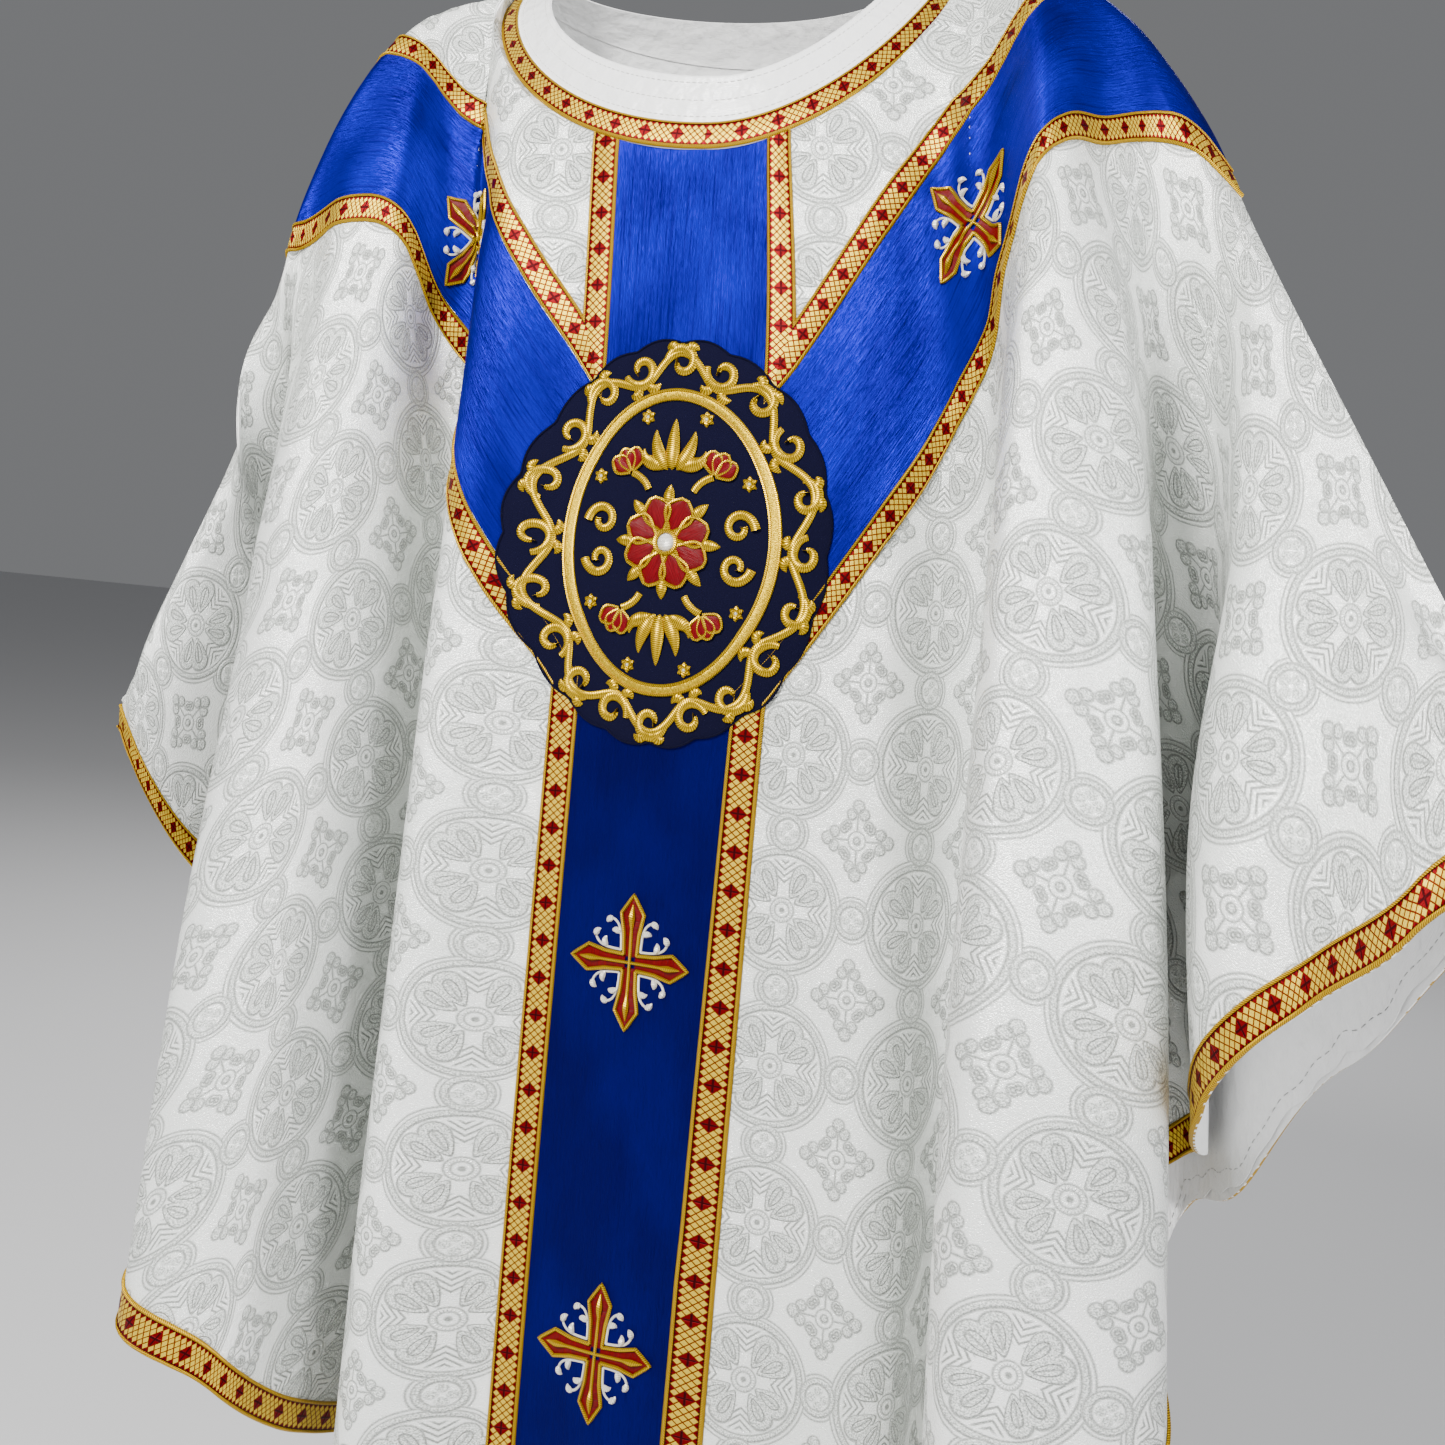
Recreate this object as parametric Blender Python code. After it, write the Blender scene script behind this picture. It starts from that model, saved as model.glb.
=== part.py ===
"""Gothic chasuble, worn and hanging, with a Y-shaped orphrey.

Metres, +Z up. The front faces -Y and the wearer's left is +X. The origin lies between
the two neck sides, where the shoulders carry the cloth.

The front and the back are each one flat piece of cloth. A flat point is (s, t): s across
from the centre line, t down from the neck side. Straight lines of the flat cloth run from
the neck and the shoulder seam to the hem. The tables below say how some of them hang, and
the lines between follow smoothly. Each keeps its flat length, which gives its height.
"""

import math

import bpy
import numpy as np

# The flat cut
HALF_WIDTH = 0.90
SEAM_SLOPE = 0.2126
FRONT_LENGTH = 1.29
BACK_LENGTH = 1.31
NECK_HALF_WIDTH = 0.135
FRONT_NECK_DEPTH = 0.157
BACK_NECK_DEPTH = 0.072
BAND = 0.038
GALLOON = 0.020

# The hem of the front from its middle to the sleeve tip, on the flat cloth
HEM_CUT = (
    # s, t
    (0.000, 1.290),
    (0.200, 1.272),
    (0.380, 1.210),
    (0.520, 1.110),
    (0.630, 0.965),
    (0.715, 0.780),
    (0.785, 0.560),
    (0.845, 0.340),
    (0.900, 0.163),
)

# The orphrey on the flat cloth
COLUMN_HALF = 0.080
ARM_WIDTH = 0.150
ARM_LEAN = math.radians(35)
V_DEPTH = 0.331
# Where an arm's upper edge bends, and how it leans from there to the shoulder seam
BEND_ACROSS = 0.195
OUTER_LEAN = math.radians(45)

# The medallion and the crosses on the flat front
MEDALLION_AT = (0.0, 0.490)
MEDALLION_HALF = (0.113, 0.137)
RING_HALF = (0.080, 0.106)
RING_WIDTH = 0.008
CROSS_LENGTH = 0.044
CROSS_SHARES = (0.11, 0.24, 0.72)
COLUMN_CROSSES = (0.779, 1.045)
ARM_CROSS_ALONG = 0.086

# Thicknesses, and the heights at which layers start above the cloth
WALL = 0.002
GAP = 0.0003
SEWN = 0.0006
FLAT_GAP = 0.0008
SATIN = 0.0010
BRAID = 0.0012
VELVET = 0.0014
CORD = 0.0016
ON_SATIN = 0.0020
ON_VELVET = ON_SATIN + VELVET + 0.0004

SLOPE_ANGLE = math.atan(SEAM_SLOPE)
BEND_DEPTH = V_DEPTH - (BEND_ACROSS - COLUMN_HALF) / math.tan(ARM_LEAN)
NECK_SIDE = NECK_HALF_WIDTH + (BAND + GALLOON) * math.cos(SLOPE_ANGLE)
TIP = HALF_WIDTH - GALLOON
SEAM_SHIFT = 1.4 * GAP
SAMPLES = 60
OVAL_SIDES = 24
LINING = 0.0010
LINING_ROWS = 3
LINING_FROM = 0.43
SHARP_ANGLE = math.radians(50)

# Points closer than 1 / MERGE m are one, and a point nearer than ON_LINE lies on a line
MERGE = 5e4
ON_LINE = 2e-6

# Neck rings: the half widths, the middle's y and z in front and behind, and the sides' z
NECK_RINGS = (
    # left, right, front y, front z, back y, back z, side z
    (0.100, 0.186, -0.116, -0.110, 0.075, -0.012, 0.000),
    (0.132, 0.212, -0.125, -0.146, 0.096, -0.042, -0.007),
    (0.148, 0.225, -0.130, -0.165, 0.104, -0.060, -0.012),
)
NECK_MIDDLE = -0.040
BACK_MIDDLE = -0.035

# The shoulder seams from the neck to the sleeve tip: flat s, then x, y, z, and the radius
# over which the cloth bends from the seam to hang
SEAM_LEFT = (
    # s, x, y, z, bend
    (NECK_SIDE, 0.148, 0.000, -0.012, 0.020),
    (0.250, 0.205, -0.003, -0.022, 0.032),
    (0.340, 0.280, -0.020, -0.066, 0.042),
    (0.430, 0.330, -0.058, -0.132, 0.045),
    (0.520, 0.370, -0.112, -0.212, 0.045),
    (0.700, 0.457, -0.188, -0.372, 0.042),
    (HALF_WIDTH, 0.562, -0.278, -0.562, 0.024),
)
SEAM_RIGHT = (
    # s, x, y, z, bend
    (NECK_SIDE, 0.225, 0.000, -0.012, 0.020),
    (0.250, 0.272, -0.022, -0.040, 0.032),
    (0.340, 0.312, -0.062, -0.112, 0.042),
    (0.430, 0.336, -0.094, -0.195, 0.045),
    (0.520, 0.343, -0.112, -0.285, 0.045),
    (0.700, 0.378, -0.143, -0.450, 0.046),
    (HALF_WIDTH, 0.420, -0.174, -0.612, 0.030),
)

# Lines of the cloth. top is the flat s where a line starts, hem the flat distance along
# the hem from its middle to where it ends, reach its hanging length over its flat length.
# Then x and y at PLACES, shares of its length.
PLACES = (0.14, 0.40, 0.70, 1.00)
FRONT_LEFT = (
    # name, top, hem, reach, x, y, x, y, x, y, x, y
    ("centre", 0.000, 0.000, 1.00, 0.000, -0.137, 0.000, -0.143, 0.000, -0.150, 0.000, -0.155),
    ("column side", 0.080, 0.080, 1.00, 0.080, -0.134, 0.080, -0.140, 0.080, -0.147, 0.080, -0.150),
    ("inner sheet", 0.125, 0.205, 1.00, 0.128, -0.124, 0.150, -0.136, 0.178, -0.142, 0.195, -0.142),
    ("inner fold", NECK_SIDE, 0.320, 1.00, 0.180, -0.104, 0.204, -0.102, 0.217, -0.082, 0.222, -0.066),
    ("fold, far side", 0.205, 0.360, 1.00, 0.194, -0.107, 0.218, -0.106, 0.233, -0.084, 0.242, -0.068),
    ("ridge edge", 0.240, 0.540, 1.00, 0.228, -0.135, 0.240, -0.215, 0.249, -0.275, 0.257, -0.275),
    ("ridge", 0.280, 0.620, 1.00, 0.250, -0.138, 0.272, -0.232, 0.300, -0.305, 0.308, -0.300),
    ("ridge side", 0.325, 0.720, 1.00, 0.276, -0.122, 0.318, -0.205, 0.355, -0.250, 0.380, -0.243),
    ("outer fold", 0.412, 0.950, 1.00, 0.318, -0.110, 0.330, -0.085, 0.335, -0.055, 0.335, -0.022),
    ("fold, far side", 0.432, 1.000, 1.00, 0.332, -0.110, 0.350, -0.084, 0.358, -0.052, 0.362, -0.022),
    ("sleeve root", 0.530, 1.250, 1.10, 0.382, -0.150, 0.376, -0.182, 0.369, -0.222, 0.386, -0.238),
    ("sleeve", 0.660, 1.390, 1.12, 0.444, -0.198, 0.448, -0.232, 0.446, -0.265, 0.442, -0.286),
    ("cuff", 0.800, 1.520, 1.27, 0.512, -0.256, 0.512, -0.278, 0.511, -0.296, 0.510, -0.308),
)
FRONT_RIGHT = (
    # name, top, hem, reach, x, y, x, y, x, y, x, y
    ("centre", 0.000, 0.000, 1.00, 0.000, -0.137, 0.000, -0.143, 0.000, -0.150, 0.000, -0.155),
    ("column side", 0.080, 0.080, 1.00, 0.080, -0.134, 0.080, -0.140, 0.080, -0.147, 0.080, -0.150),
    ("inner edge", 0.150, 0.205, 1.00, 0.163, -0.134, 0.176, -0.148, 0.176, -0.168, 0.178, -0.190),
    ("inner fold", NECK_SIDE, 0.390, 1.00, 0.200, -0.088, 0.196, -0.060, 0.191, -0.024, 0.188, 0.008),
    ("fold, far side", 0.205, 0.430, 1.00, 0.216, -0.090, 0.212, -0.062, 0.208, -0.024, 0.207, 0.008),
    ("face", 0.260, 0.620, 1.00, 0.248, -0.118, 0.226, -0.150, 0.216, -0.180, 0.216, -0.205),
    ("ridge", 0.320, 0.730, 1.00, 0.285, -0.128, 0.256, -0.190, 0.240, -0.228, 0.240, -0.262),
    ("silhouette", 0.390, 0.840, 1.00, 0.322, -0.125, 0.308, -0.178, 0.306, -0.232, 0.312, -0.256),
    ("outer fold", 0.490, 1.080, 1.00, 0.333, -0.143, 0.312, -0.066, 0.284, -0.014, 0.262, 0.024),
    ("fold, far side", 0.515, 1.130, 1.00, 0.344, -0.152, 0.326, -0.068, 0.304, -0.008, 0.286, 0.028),
    ("sleeve root", 0.600, 1.260, 1.00, 0.352, -0.150, 0.344, -0.112, 0.334, -0.072, 0.328, -0.050),
    ("sleeve", 0.700, 1.390, 1.00, 0.385, -0.172, 0.378, -0.162, 0.370, -0.150, 0.364, -0.140),
    ("cuff", 0.800, 1.510, 1.00, 0.408, -0.184, 0.404, -0.182, 0.400, -0.178, 0.397, -0.174),
)
BACK_LEFT = (
    # name, top, hem, reach, x, y, x, y, x, y, x, y
    ("centre", 0.000, 0.000, 1.00, -0.035, 0.112, -0.035, 0.128, -0.032, 0.150, -0.030, 0.172),
    ("column side", 0.080, 0.080, 1.00, 0.045, 0.110, 0.045, 0.126, 0.048, 0.147, 0.050, 0.168),
    ("inner sheet", 0.130, 0.210, 1.00, 0.100, 0.100, 0.115, 0.110, 0.132, 0.120, 0.150, 0.132),
    ("inner fold", NECK_SIDE, 0.360, 1.00, 0.155, 0.084, 0.170, 0.072, 0.190, 0.060, 0.212, 0.055),
    ("ridge", 0.245, 0.520, 1.00, 0.205, 0.066, 0.228, 0.104, 0.258, 0.140, 0.290, 0.168),
    ("ridge side", 0.310, 0.660, 1.00, 0.258, 0.040, 0.284, 0.075, 0.308, 0.108, 0.326, 0.128),
    ("outer fold", 0.390, 0.860, 1.00, 0.312, -0.002, 0.332, 0.005, 0.340, 0.010, 0.338, 0.020),
    ("sleeve root", 0.480, 1.050, 1.05, 0.352, -0.050, 0.364, -0.020, 0.370, 0.000, 0.368, 0.010),
    ("sleeve", 0.580, 1.210, 1.15, 0.396, -0.100, 0.400, -0.080, 0.402, -0.075, 0.405, -0.085),
    ("forearm", 0.690, 1.360, 1.20, 0.446, -0.150, 0.450, -0.135, 0.452, -0.125, 0.455, -0.120),
    ("cuff", 0.800, 1.510, 1.50, 0.505, -0.204, 0.505, -0.190, 0.505, -0.178, 0.505, -0.168),
)
BACK_RIGHT = (
    # name, top, hem, reach, x, y, x, y, x, y, x, y
    ("centre", 0.000, 0.000, 1.00, 0.035, 0.112, 0.035, 0.128, 0.032, 0.150, 0.030, 0.172),
    ("column side", 0.080, 0.080, 1.00, 0.115, 0.110, 0.115, 0.126, 0.112, 0.147, 0.110, 0.168),
    ("inner sheet", 0.130, 0.210, 1.00, 0.168, 0.100, 0.176, 0.108, 0.184, 0.116, 0.196, 0.126),
    ("inner fold", NECK_SIDE, 0.360, 1.00, 0.225, 0.078, 0.232, 0.070, 0.240, 0.062, 0.252, 0.062),
    ("ridge", 0.245, 0.520, 1.00, 0.262, 0.058, 0.272, 0.092, 0.290, 0.125, 0.312, 0.150),
    ("ridge side", 0.310, 0.660, 1.00, 0.300, 0.018, 0.316, 0.060, 0.340, 0.096, 0.366, 0.118),
    ("outer fold", 0.390, 0.860, 1.00, 0.328, -0.025, 0.342, 0.014, 0.360, 0.052, 0.380, 0.082),
    ("sleeve root", 0.480, 1.060, 1.00, 0.345, -0.050, 0.356, 0.004, 0.374, 0.042, 0.392, 0.068),
    ("sleeve", 0.580, 1.230, 1.00, 0.360, -0.070, 0.366, -0.022, 0.376, 0.012, 0.386, 0.030),
    ("forearm", 0.690, 1.380, 1.00, 0.381, -0.088, 0.385, -0.055, 0.390, -0.030, 0.395, -0.012),
    ("cuff", 0.800, 1.510, 1.00, 0.400, -0.122, 0.401, -0.100, 0.402, -0.084, 0.403, -0.072),
)
HEM_STEP = 0.075
ROWS = (0.0, 0.045, 0.10, 0.165, 0.24, 0.33, 0.43, 0.54, 0.66, 0.78, 0.90, 1.0)


def smooth(knots, values, at):
    """A curve through rows of values at rising knots, with three-point slopes."""
    knots = np.asarray(knots, float)
    values = np.asarray(values, float).reshape(len(knots), -1)
    at = np.clip(np.atleast_1d(at), knots[0], knots[-1])
    step = np.diff(knots)[:, None]
    rate = np.diff(values, axis=0) / step
    middle = (rate[:-1] * step[1:] + rate[1:] * step[:-1]) / (step[:-1] + step[1:])
    slope = np.vstack([rate[:1], middle, rate[-1:]])
    i = np.clip(np.searchsorted(knots, at, side="right") - 1, 0, len(knots) - 2)
    width = step[i]
    u = (at - knots[i])[:, None] / width
    start = (1 + 2 * u) * (1 - u) ** 2 * values[i] + u * (1 - u) ** 2 * width * slope[i]
    end = u**2 * (3 - 2 * u) * values[i + 1] + u**2 * (u - 1) * width * slope[i + 1]
    return start + end


def along(points):
    """Distance along a row of points, from its first."""
    return np.r_[0.0, np.cumsum(np.linalg.norm(np.diff(points, axis=0), axis=1))]


def hem_outline(length):
    """The flat outline from the middle of the hem to the sleeve tip, with its distances."""
    cut = np.array(HEM_CUT)
    tip_depth = (HALF_WIDTH - NECK_HALF_WIDTH) * SEAM_SLOPE
    cut[:, 1] -= cut[-1, 1]
    cut[:, 1] *= (length - tip_depth) / cut[0, 1]
    chord = along(cut)
    points = smooth(chord, cut, np.linspace(0, chord[-1], 2001))
    points[:, 1] += tip_depth
    return points, along(points)


def neck_flat(angle, depth, distance):
    """Flat points at a distance outside the neckline. Angle 0 is the middle."""
    normal = np.column_stack([depth * np.sin(angle), NECK_HALF_WIDTH * np.cos(angle)])
    normal /= np.linalg.norm(normal, axis=1)[:, None]
    tilt = SLOPE_ANGLE * (angle / (math.pi / 2)) ** 4
    turned = np.column_stack(
        [
            normal[:, 0] * np.cos(tilt) - normal[:, 1] * np.sin(tilt),
            normal[:, 0] * np.sin(tilt) + normal[:, 1] * np.cos(tilt),
        ]
    )
    line = np.column_stack([NECK_HALF_WIDTH * np.sin(angle), depth * np.cos(angle)])
    return line + distance * turned


def neck_place(ring, angle, front, side):
    """The neck ring's points in space on one side. side is 0 for the left, 1 for the right."""
    half = ring[side]
    front_y, front_z, back_y, back_z, side_z = ring[2:]
    y, z = (front_y, front_z) if front else (back_y, back_z)
    middle = 0.0 if front else BACK_MIDDLE * (1, -1)[side]
    cosine = np.clip(np.cos(angle), 0, 1)
    across = middle + (half - middle) * np.sin(angle)
    return np.column_stack([across, y * cosine, side_z + (z - side_z) * cosine**1.25])


def stations(table):
    """Flat s of the columns of points: the column's edges, then steps between the lines."""
    hem_length = hem_outline(FRONT_LENGTH)[1][-1]
    tops = [row[1] for row in table] + [TIP]
    hems = [row[2] for row in table] + [hem_length]
    found = [0.0, COLUMN_HALF - GALLOON, COLUMN_HALF]
    for k in range(1, len(table)):
        steps = max(1, round((hems[k + 1] - hems[k]) / HEM_STEP))
        found += list(np.linspace(tops[k], tops[k + 1], steps + 1)[1:])
    return np.array(found)


def quarter(table, seam, front, side, top_s):
    """The flat points and places of one side of the front or back, with x away from the middle.

    It returns the rings (3, columns up to the neck side) and the main grid (rows,
    columns), each as (flat, place), with the centre in column 0.
    """
    depth = FRONT_NECK_DEPTH if front else BACK_NECK_DEPTH
    outline, hem_at = hem_outline(FRONT_LENGTH if front else BACK_LENGTH)
    seam = np.array(seam)
    tip = smooth(seam[:, 0], seam[:, 1:4], [TIP, HALF_WIDTH])
    tops = [row[1] for row in table] + [TIP]
    values = [row[2:] for row in table]
    values.append((hem_at[-1], values[-1][1]) + tuple(tip[1, :2]) * len(PLACES))
    values = smooth(tops, values, top_s)
    hems, reach = values[:, 0], values[:, 1]
    hems[1:3] = top_s[1:3]
    hems[-1] = hem_at[-1]
    place_xy = values[:, 2:].reshape(len(top_s), len(PLACES), 2)

    angles = np.linspace(0, math.pi / 2, 901)
    edge_s = neck_flat(angles, depth, BAND + GALLOON)[:, 0]
    neck_columns = int(np.argmin(abs(top_s - NECK_SIDE))) + 1
    angle = np.interp(top_s[:neck_columns], edge_s, angles)
    rings = []
    for ring, distance in zip(NECK_RINGS, (0.0, BAND, BAND + GALLOON)):
        places = neck_place(ring, angle, front, side)
        rings.append((neck_flat(angle, depth, distance), places))

    seam_s = top_s[neck_columns:]
    seam_place = smooth(seam[:, 0], seam[:, 1:], seam_s)
    seam_flat = np.column_stack([seam_s, (seam_s - NECK_HALF_WIDTH) * SEAM_SLOPE])
    top_flat = np.vstack([rings[2][0], seam_flat])
    top_place = np.vstack([rings[2][1], seam_place[:, :3]])
    bend = np.r_[seam[0, 4] * np.sin(angle) ** 3, seam_place[:, 3]]

    hem_flat = np.column_stack([np.interp(hems, hem_at, outline[:, k]) for k in (0, 1)])
    hem_flat[:3, 0] = top_s[:3]
    toward = -1.0 if front else 1.0
    flat = np.empty((len(ROWS) + 1, len(top_s), 2))
    place = np.empty((len(ROWS) + 1, len(top_s), 3))
    for k in range(len(top_s) - 1):
        run = hem_flat[k] - top_flat[k]
        length = np.linalg.norm(run)
        share = np.linspace(0, 1, SAMPLES)
        start = top_place[k, :2] + (0.0, toward * bend[k])
        xy = smooth((0.0, *PLACES), np.vstack([start, place_xy[k]]), share)
        bend_length = 1.5 * max(bend[k], 1e-6)
        left = np.clip(1 - share * length / bend_length, 0, 1)
        xy[:, 1] -= toward * bend[k] * left**1.5
        step = length * reach[k] / (SAMPLES - 1)
        sideways = (np.diff(xy, axis=0) ** 2).sum(axis=1)
        drop = np.sqrt(np.maximum(step**2 - sideways, (0.1 * step) ** 2))
        z = top_place[k, 2] - np.r_[0.0, np.cumsum(drop)]
        inner = 1 - GALLOON * 1.02 / length
        at = np.r_[np.array(ROWS) ** min(1.0, 0.42 + 0.65 * length) * inner, 1.0]
        flat[:, k] = top_flat[k] + at[:, None] * run
        place[:, k] = np.column_stack([np.interp(at, share, c) for c in (*xy.T, z)])
        place[0, k] = top_place[k]
    flat[:, -1], place[:, -1] = top_flat[-1], tip[0]
    flat[-1, -1], place[-1, -1] = hem_flat[-1], tip[1]
    return rings, flat, place


def both_sides(left, right):
    """(flat, place) of the whole from the two quarters' (flat, place)."""
    flip = np.array([-1.0, 1.0]), np.array([-1.0, 1.0, 1.0])
    return tuple(
        np.concatenate([(b * sign)[:, :0:-1], a], axis=1)
        for a, b, sign in zip(left, right, flip)
    )


class Cloth:
    """Every point of the worn cloth once, with its normal, and grids that index them."""

    def __init__(self):
        self.points = []
        self.seen = {}
        self.triangles = []

    def add(self, place):
        """Adds a grid of points and returns the grid of their numbers."""
        index = np.empty(place.shape[:2], int)
        for at in np.ndindex(index.shape):
            key = tuple(np.round(place[at] * 1e6).astype(int))
            if key not in self.seen:
                self.seen[key] = len(self.points)
                self.points.append(place[at])
            index[at] = self.seen[key]
        return index

    def close(self):
        """Works out each point's normal, with an equal say for both halves at the seams."""
        self.points = np.array(self.points)
        self.normals = np.zeros_like(self.points)
        for triangles in self.triangles:
            a, b, c = (self.points[[t[k] for t in triangles]] for k in range(3))
            face = np.cross(b - a, c - a)
            own = np.zeros_like(self.points)
            for k in range(3):
                np.add.at(own, [t[k] for t in triangles], face)
            size = np.linalg.norm(own, axis=1)[:, None]
            self.normals += own / np.where(size > 0, size, 1.0)
        self.normals /= np.linalg.norm(self.normals, axis=1)[:, None]


def cells(index, flat, front, rows=None, columns=None):
    """The two triangles of each cell of a grid, as [(point numbers, flat points)]."""
    found = []
    for i in rows if rows is not None else range(index.shape[0] - 1):
        for j in columns if columns is not None else range(index.shape[1] - 1):
            corner = [(i, j), (i + 1, j), (i + 1, j + 1), (i, j + 1)]
            if flat[i, j, 0] + flat[i, j + 1, 0] < 0:
                corner = corner[1:] + corner[:1]
            for pick in ((0, 1, 2), (0, 2, 3)):
                spots = [corner[k] for k in pick]
                numbers = [int(index[spot]) for spot in spots]
                if len(set(numbers)) < 3:
                    continue
                spots = spots if front else spots[::-1]
                found.append(([int(index[s]) for s in spots], [flat[s] for s in spots]))
    return found


def material(name, colour, roughness, metallic=0.0):
    made = bpy.data.materials.new(name)
    made.use_nodes = True
    surface = made.node_tree.nodes["Principled BSDF"]
    surface.inputs["Base Color"].default_value = (*colour, 1.0)
    surface.inputs["Roughness"].default_value = roughness
    surface.inputs["Metallic"].default_value = metallic
    return made


def slab(name, polygons, low, high, finish):
    """One closed piece between two heights over polygons of (place, normal) corners."""
    numbers, points, normals, faces = {}, [], [], []
    for polygon in polygons:
        face = []
        for place, normal in polygon:
            key = tuple(np.round(np.asarray(place) * MERGE).astype(int))
            if key not in numbers:
                numbers[key] = len(points)
                points.append(place)
                normals.append(normal)
            if numbers[key] not in face:
                face.append(numbers[key])
        if len(face) > 2:
            faces.append(face)
    points, normals = np.array(points), np.array(normals)
    count = len(points)
    top, bottom = points + high * normals, points + low * normals
    edges = set()
    for face in faces:
        edges.update(zip(face, face[1:] + face[:1]))
    rim = sorted(edge for edge in edges if edge[::-1] not in edges)
    walls = [(b, a, a + count, b + count) for a, b in rim]
    under = [[k + count for k in face[::-1]] for face in faces]
    mesh = bpy.data.meshes.new(name)
    mesh.from_pydata(np.vstack([top, bottom]).tolist(), [], faces + under + walls)
    mesh.materials.append(finish)
    mesh.shade_smooth()
    mesh.set_sharp_from_angle(angle=SHARP_ANGLE)
    piece = bpy.data.objects.new(name, mesh)
    bpy.context.scene.collection.objects.link(piece)
    return piece


def corners_of(cloth, triangles, moved):
    """The triangles as polygons of rows (s, t, place, normal)."""
    return [
        [
            np.r_[flat, moved.get(number, cloth.points[number]), cloth.normals[number]]
            for number, flat in zip(numbers, flats)
        ]
        for numbers, flats in triangles
    ]


def clipped(polygons, planes):
    """The parts of polygons of rows inside half planes a*s + b*t >= c."""
    found = []
    for polygon in polygons:
        for a, b, c in planes:
            inside = [a * p[0] + b * p[1] - c for p in polygon]
            inside = [0.0 if abs(d) < ON_LINE else d for d in inside]
            kept = []
            for k, point in enumerate(polygon):
                after = (k + 1) % len(polygon)
                here, there = inside[k], inside[after]
                if here >= 0:
                    kept.append(point)
                if here * there < 0:
                    kept.append(point + (polygon[after] - point) * here / (here - there))
            polygon = kept
            if len(polygon) < 3:
                break
        if len(polygon) > 2:
            found.append(polygon)
    return found


def bare(polygons):
    """The rows' places and unit normals."""
    return [[(p[2:5], p[5:8] / np.linalg.norm(p[5:8])) for p in rows] for rows in polygons]


def nudged(cloth, moved, rims, distance):
    """Moves the points of some rims towards the points of the rows next to them."""
    for rim, inward in rims:
        for a, b in zip(rim, inward):
            way = cloth.points[b] - cloth.points[a]
            size = np.linalg.norm(way)
            if size > distance:
                moved[int(a)] = moved.get(int(a), cloth.points[a]) + way * distance / size
    return moved


def beside_arm(side, low, high, outer):
    """Half planes of a band along one arm, between two distances from its upper edge.

    outer is 1 for the part beyond the arm's bend and -1 for the part before it.
    """
    lean = OUTER_LEAN if outer > 0 else ARM_LEAN
    a, b = side * math.cos(lean), math.sin(lean)
    edge = BEND_ACROSS * math.cos(lean) + BEND_DEPTH * math.sin(lean)
    middle = (ARM_LEAN + OUTER_LEAN) / 2
    across, down = outer * math.sin(middle), -outer * math.cos(middle)
    bend = (side * across, down, across * BEND_ACROSS + down * BEND_DEPTH)
    return [(a, b, edge + low), (-a, -b, -edge - high), bend]


def along_arm(polygons, side, low, high, limits):
    """The parts of polygons in a band along a whole arm, with limits for the part before its bend."""
    inner = clipped(polygons, [*beside_arm(side, low, high, -1), *limits])
    return inner + clipped(polygons, beside_arm(side, low, high, 1))


def beside_middle(side, low, high):
    """Half planes of a band along the column, between two distances from its middle."""
    return [(side, 0.0, low), (-side, 0.0, -high)]


def mitre(side, distance, keep):
    """The half plane along the line where the arm's braid meets the column's.

    distance is that of the arm braid's outer edge from the arm's upper edge. keep is 1
    for the side below the line and -1 for the side above it.
    """
    width = GALLOON if distance == 0 else -GALLOON
    outer = V_DEPTH + distance / math.sin(ARM_LEAN)
    inner = outer + (width + GALLOON * math.cos(ARM_LEAN)) / math.sin(ARM_LEAN)
    slope = (inner - outer) / GALLOON
    size = math.hypot(slope, 1.0)
    edge = outer + slope * COLUMN_HALF
    return side * slope * keep / size, keep / size, edge * keep / size + FLAT_GAP / 2


def oval(centre, half, count):
    """Flat points round an oval, from its lowest, towards +s."""
    turn = np.linspace(0, 2 * math.pi, count, endpoint=False)
    return np.column_stack(
        [centre[0] + half[0] * np.sin(turn), centre[1] + half[1] * np.cos(turn)]
    )


def inside_outline(corners):
    """Half planes of a convex outline, given either way round."""
    corners = np.asarray(corners, float)
    ahead = np.roll(corners, -1, axis=0)
    area = (corners[:, 0] * ahead[:, 1] - corners[:, 1] * ahead[:, 0]).sum()
    if area < 0:
        corners = corners[::-1]
    planes = []
    for (s0, t0), (s1, t1) in zip(corners, np.roll(corners, -1, axis=0)):
        size = math.hypot(t0 - t1, s1 - s0)
        a, b = (t0 - t1) / size, (s1 - s0) / size
        planes.append((a, b, a * s0 + b * t0))
    return planes


def ring_outlines(centre, half, width, count):
    """The outlines of the parts of an oval ring."""
    outer = oval(centre, half, count)
    inner = oval(centre, (half[0] - width, half[1] - width), count)
    ahead = np.roll(outer, -1, axis=0), np.roll(inner, -1, axis=0)
    return [(outer[k], ahead[0][k], ahead[1][k], inner[k]) for k in range(count)]


def cross_outlines(centre, turned):
    """The outlines of the four arms of a cross with widening, pointed arms."""
    root, wide, shoulder = (share * CROSS_LENGTH for share in CROSS_SHARES)
    outline = [(0, 0), (root, root), (wide, shoulder), (0, CROSS_LENGTH)]
    outline += [(-wide, shoulder), (-root, root)]
    arms = []
    for quarter_turn in range(4):
        angle = turned + quarter_turn * math.pi / 2
        cosine, sine = math.cos(angle), math.sin(angle)
        arms.append(
            [
                (centre[0] + x * cosine - y * sine, centre[1] + x * sine + y * cosine)
                for x, y in outline
            ]
        )
    return arms


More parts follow.
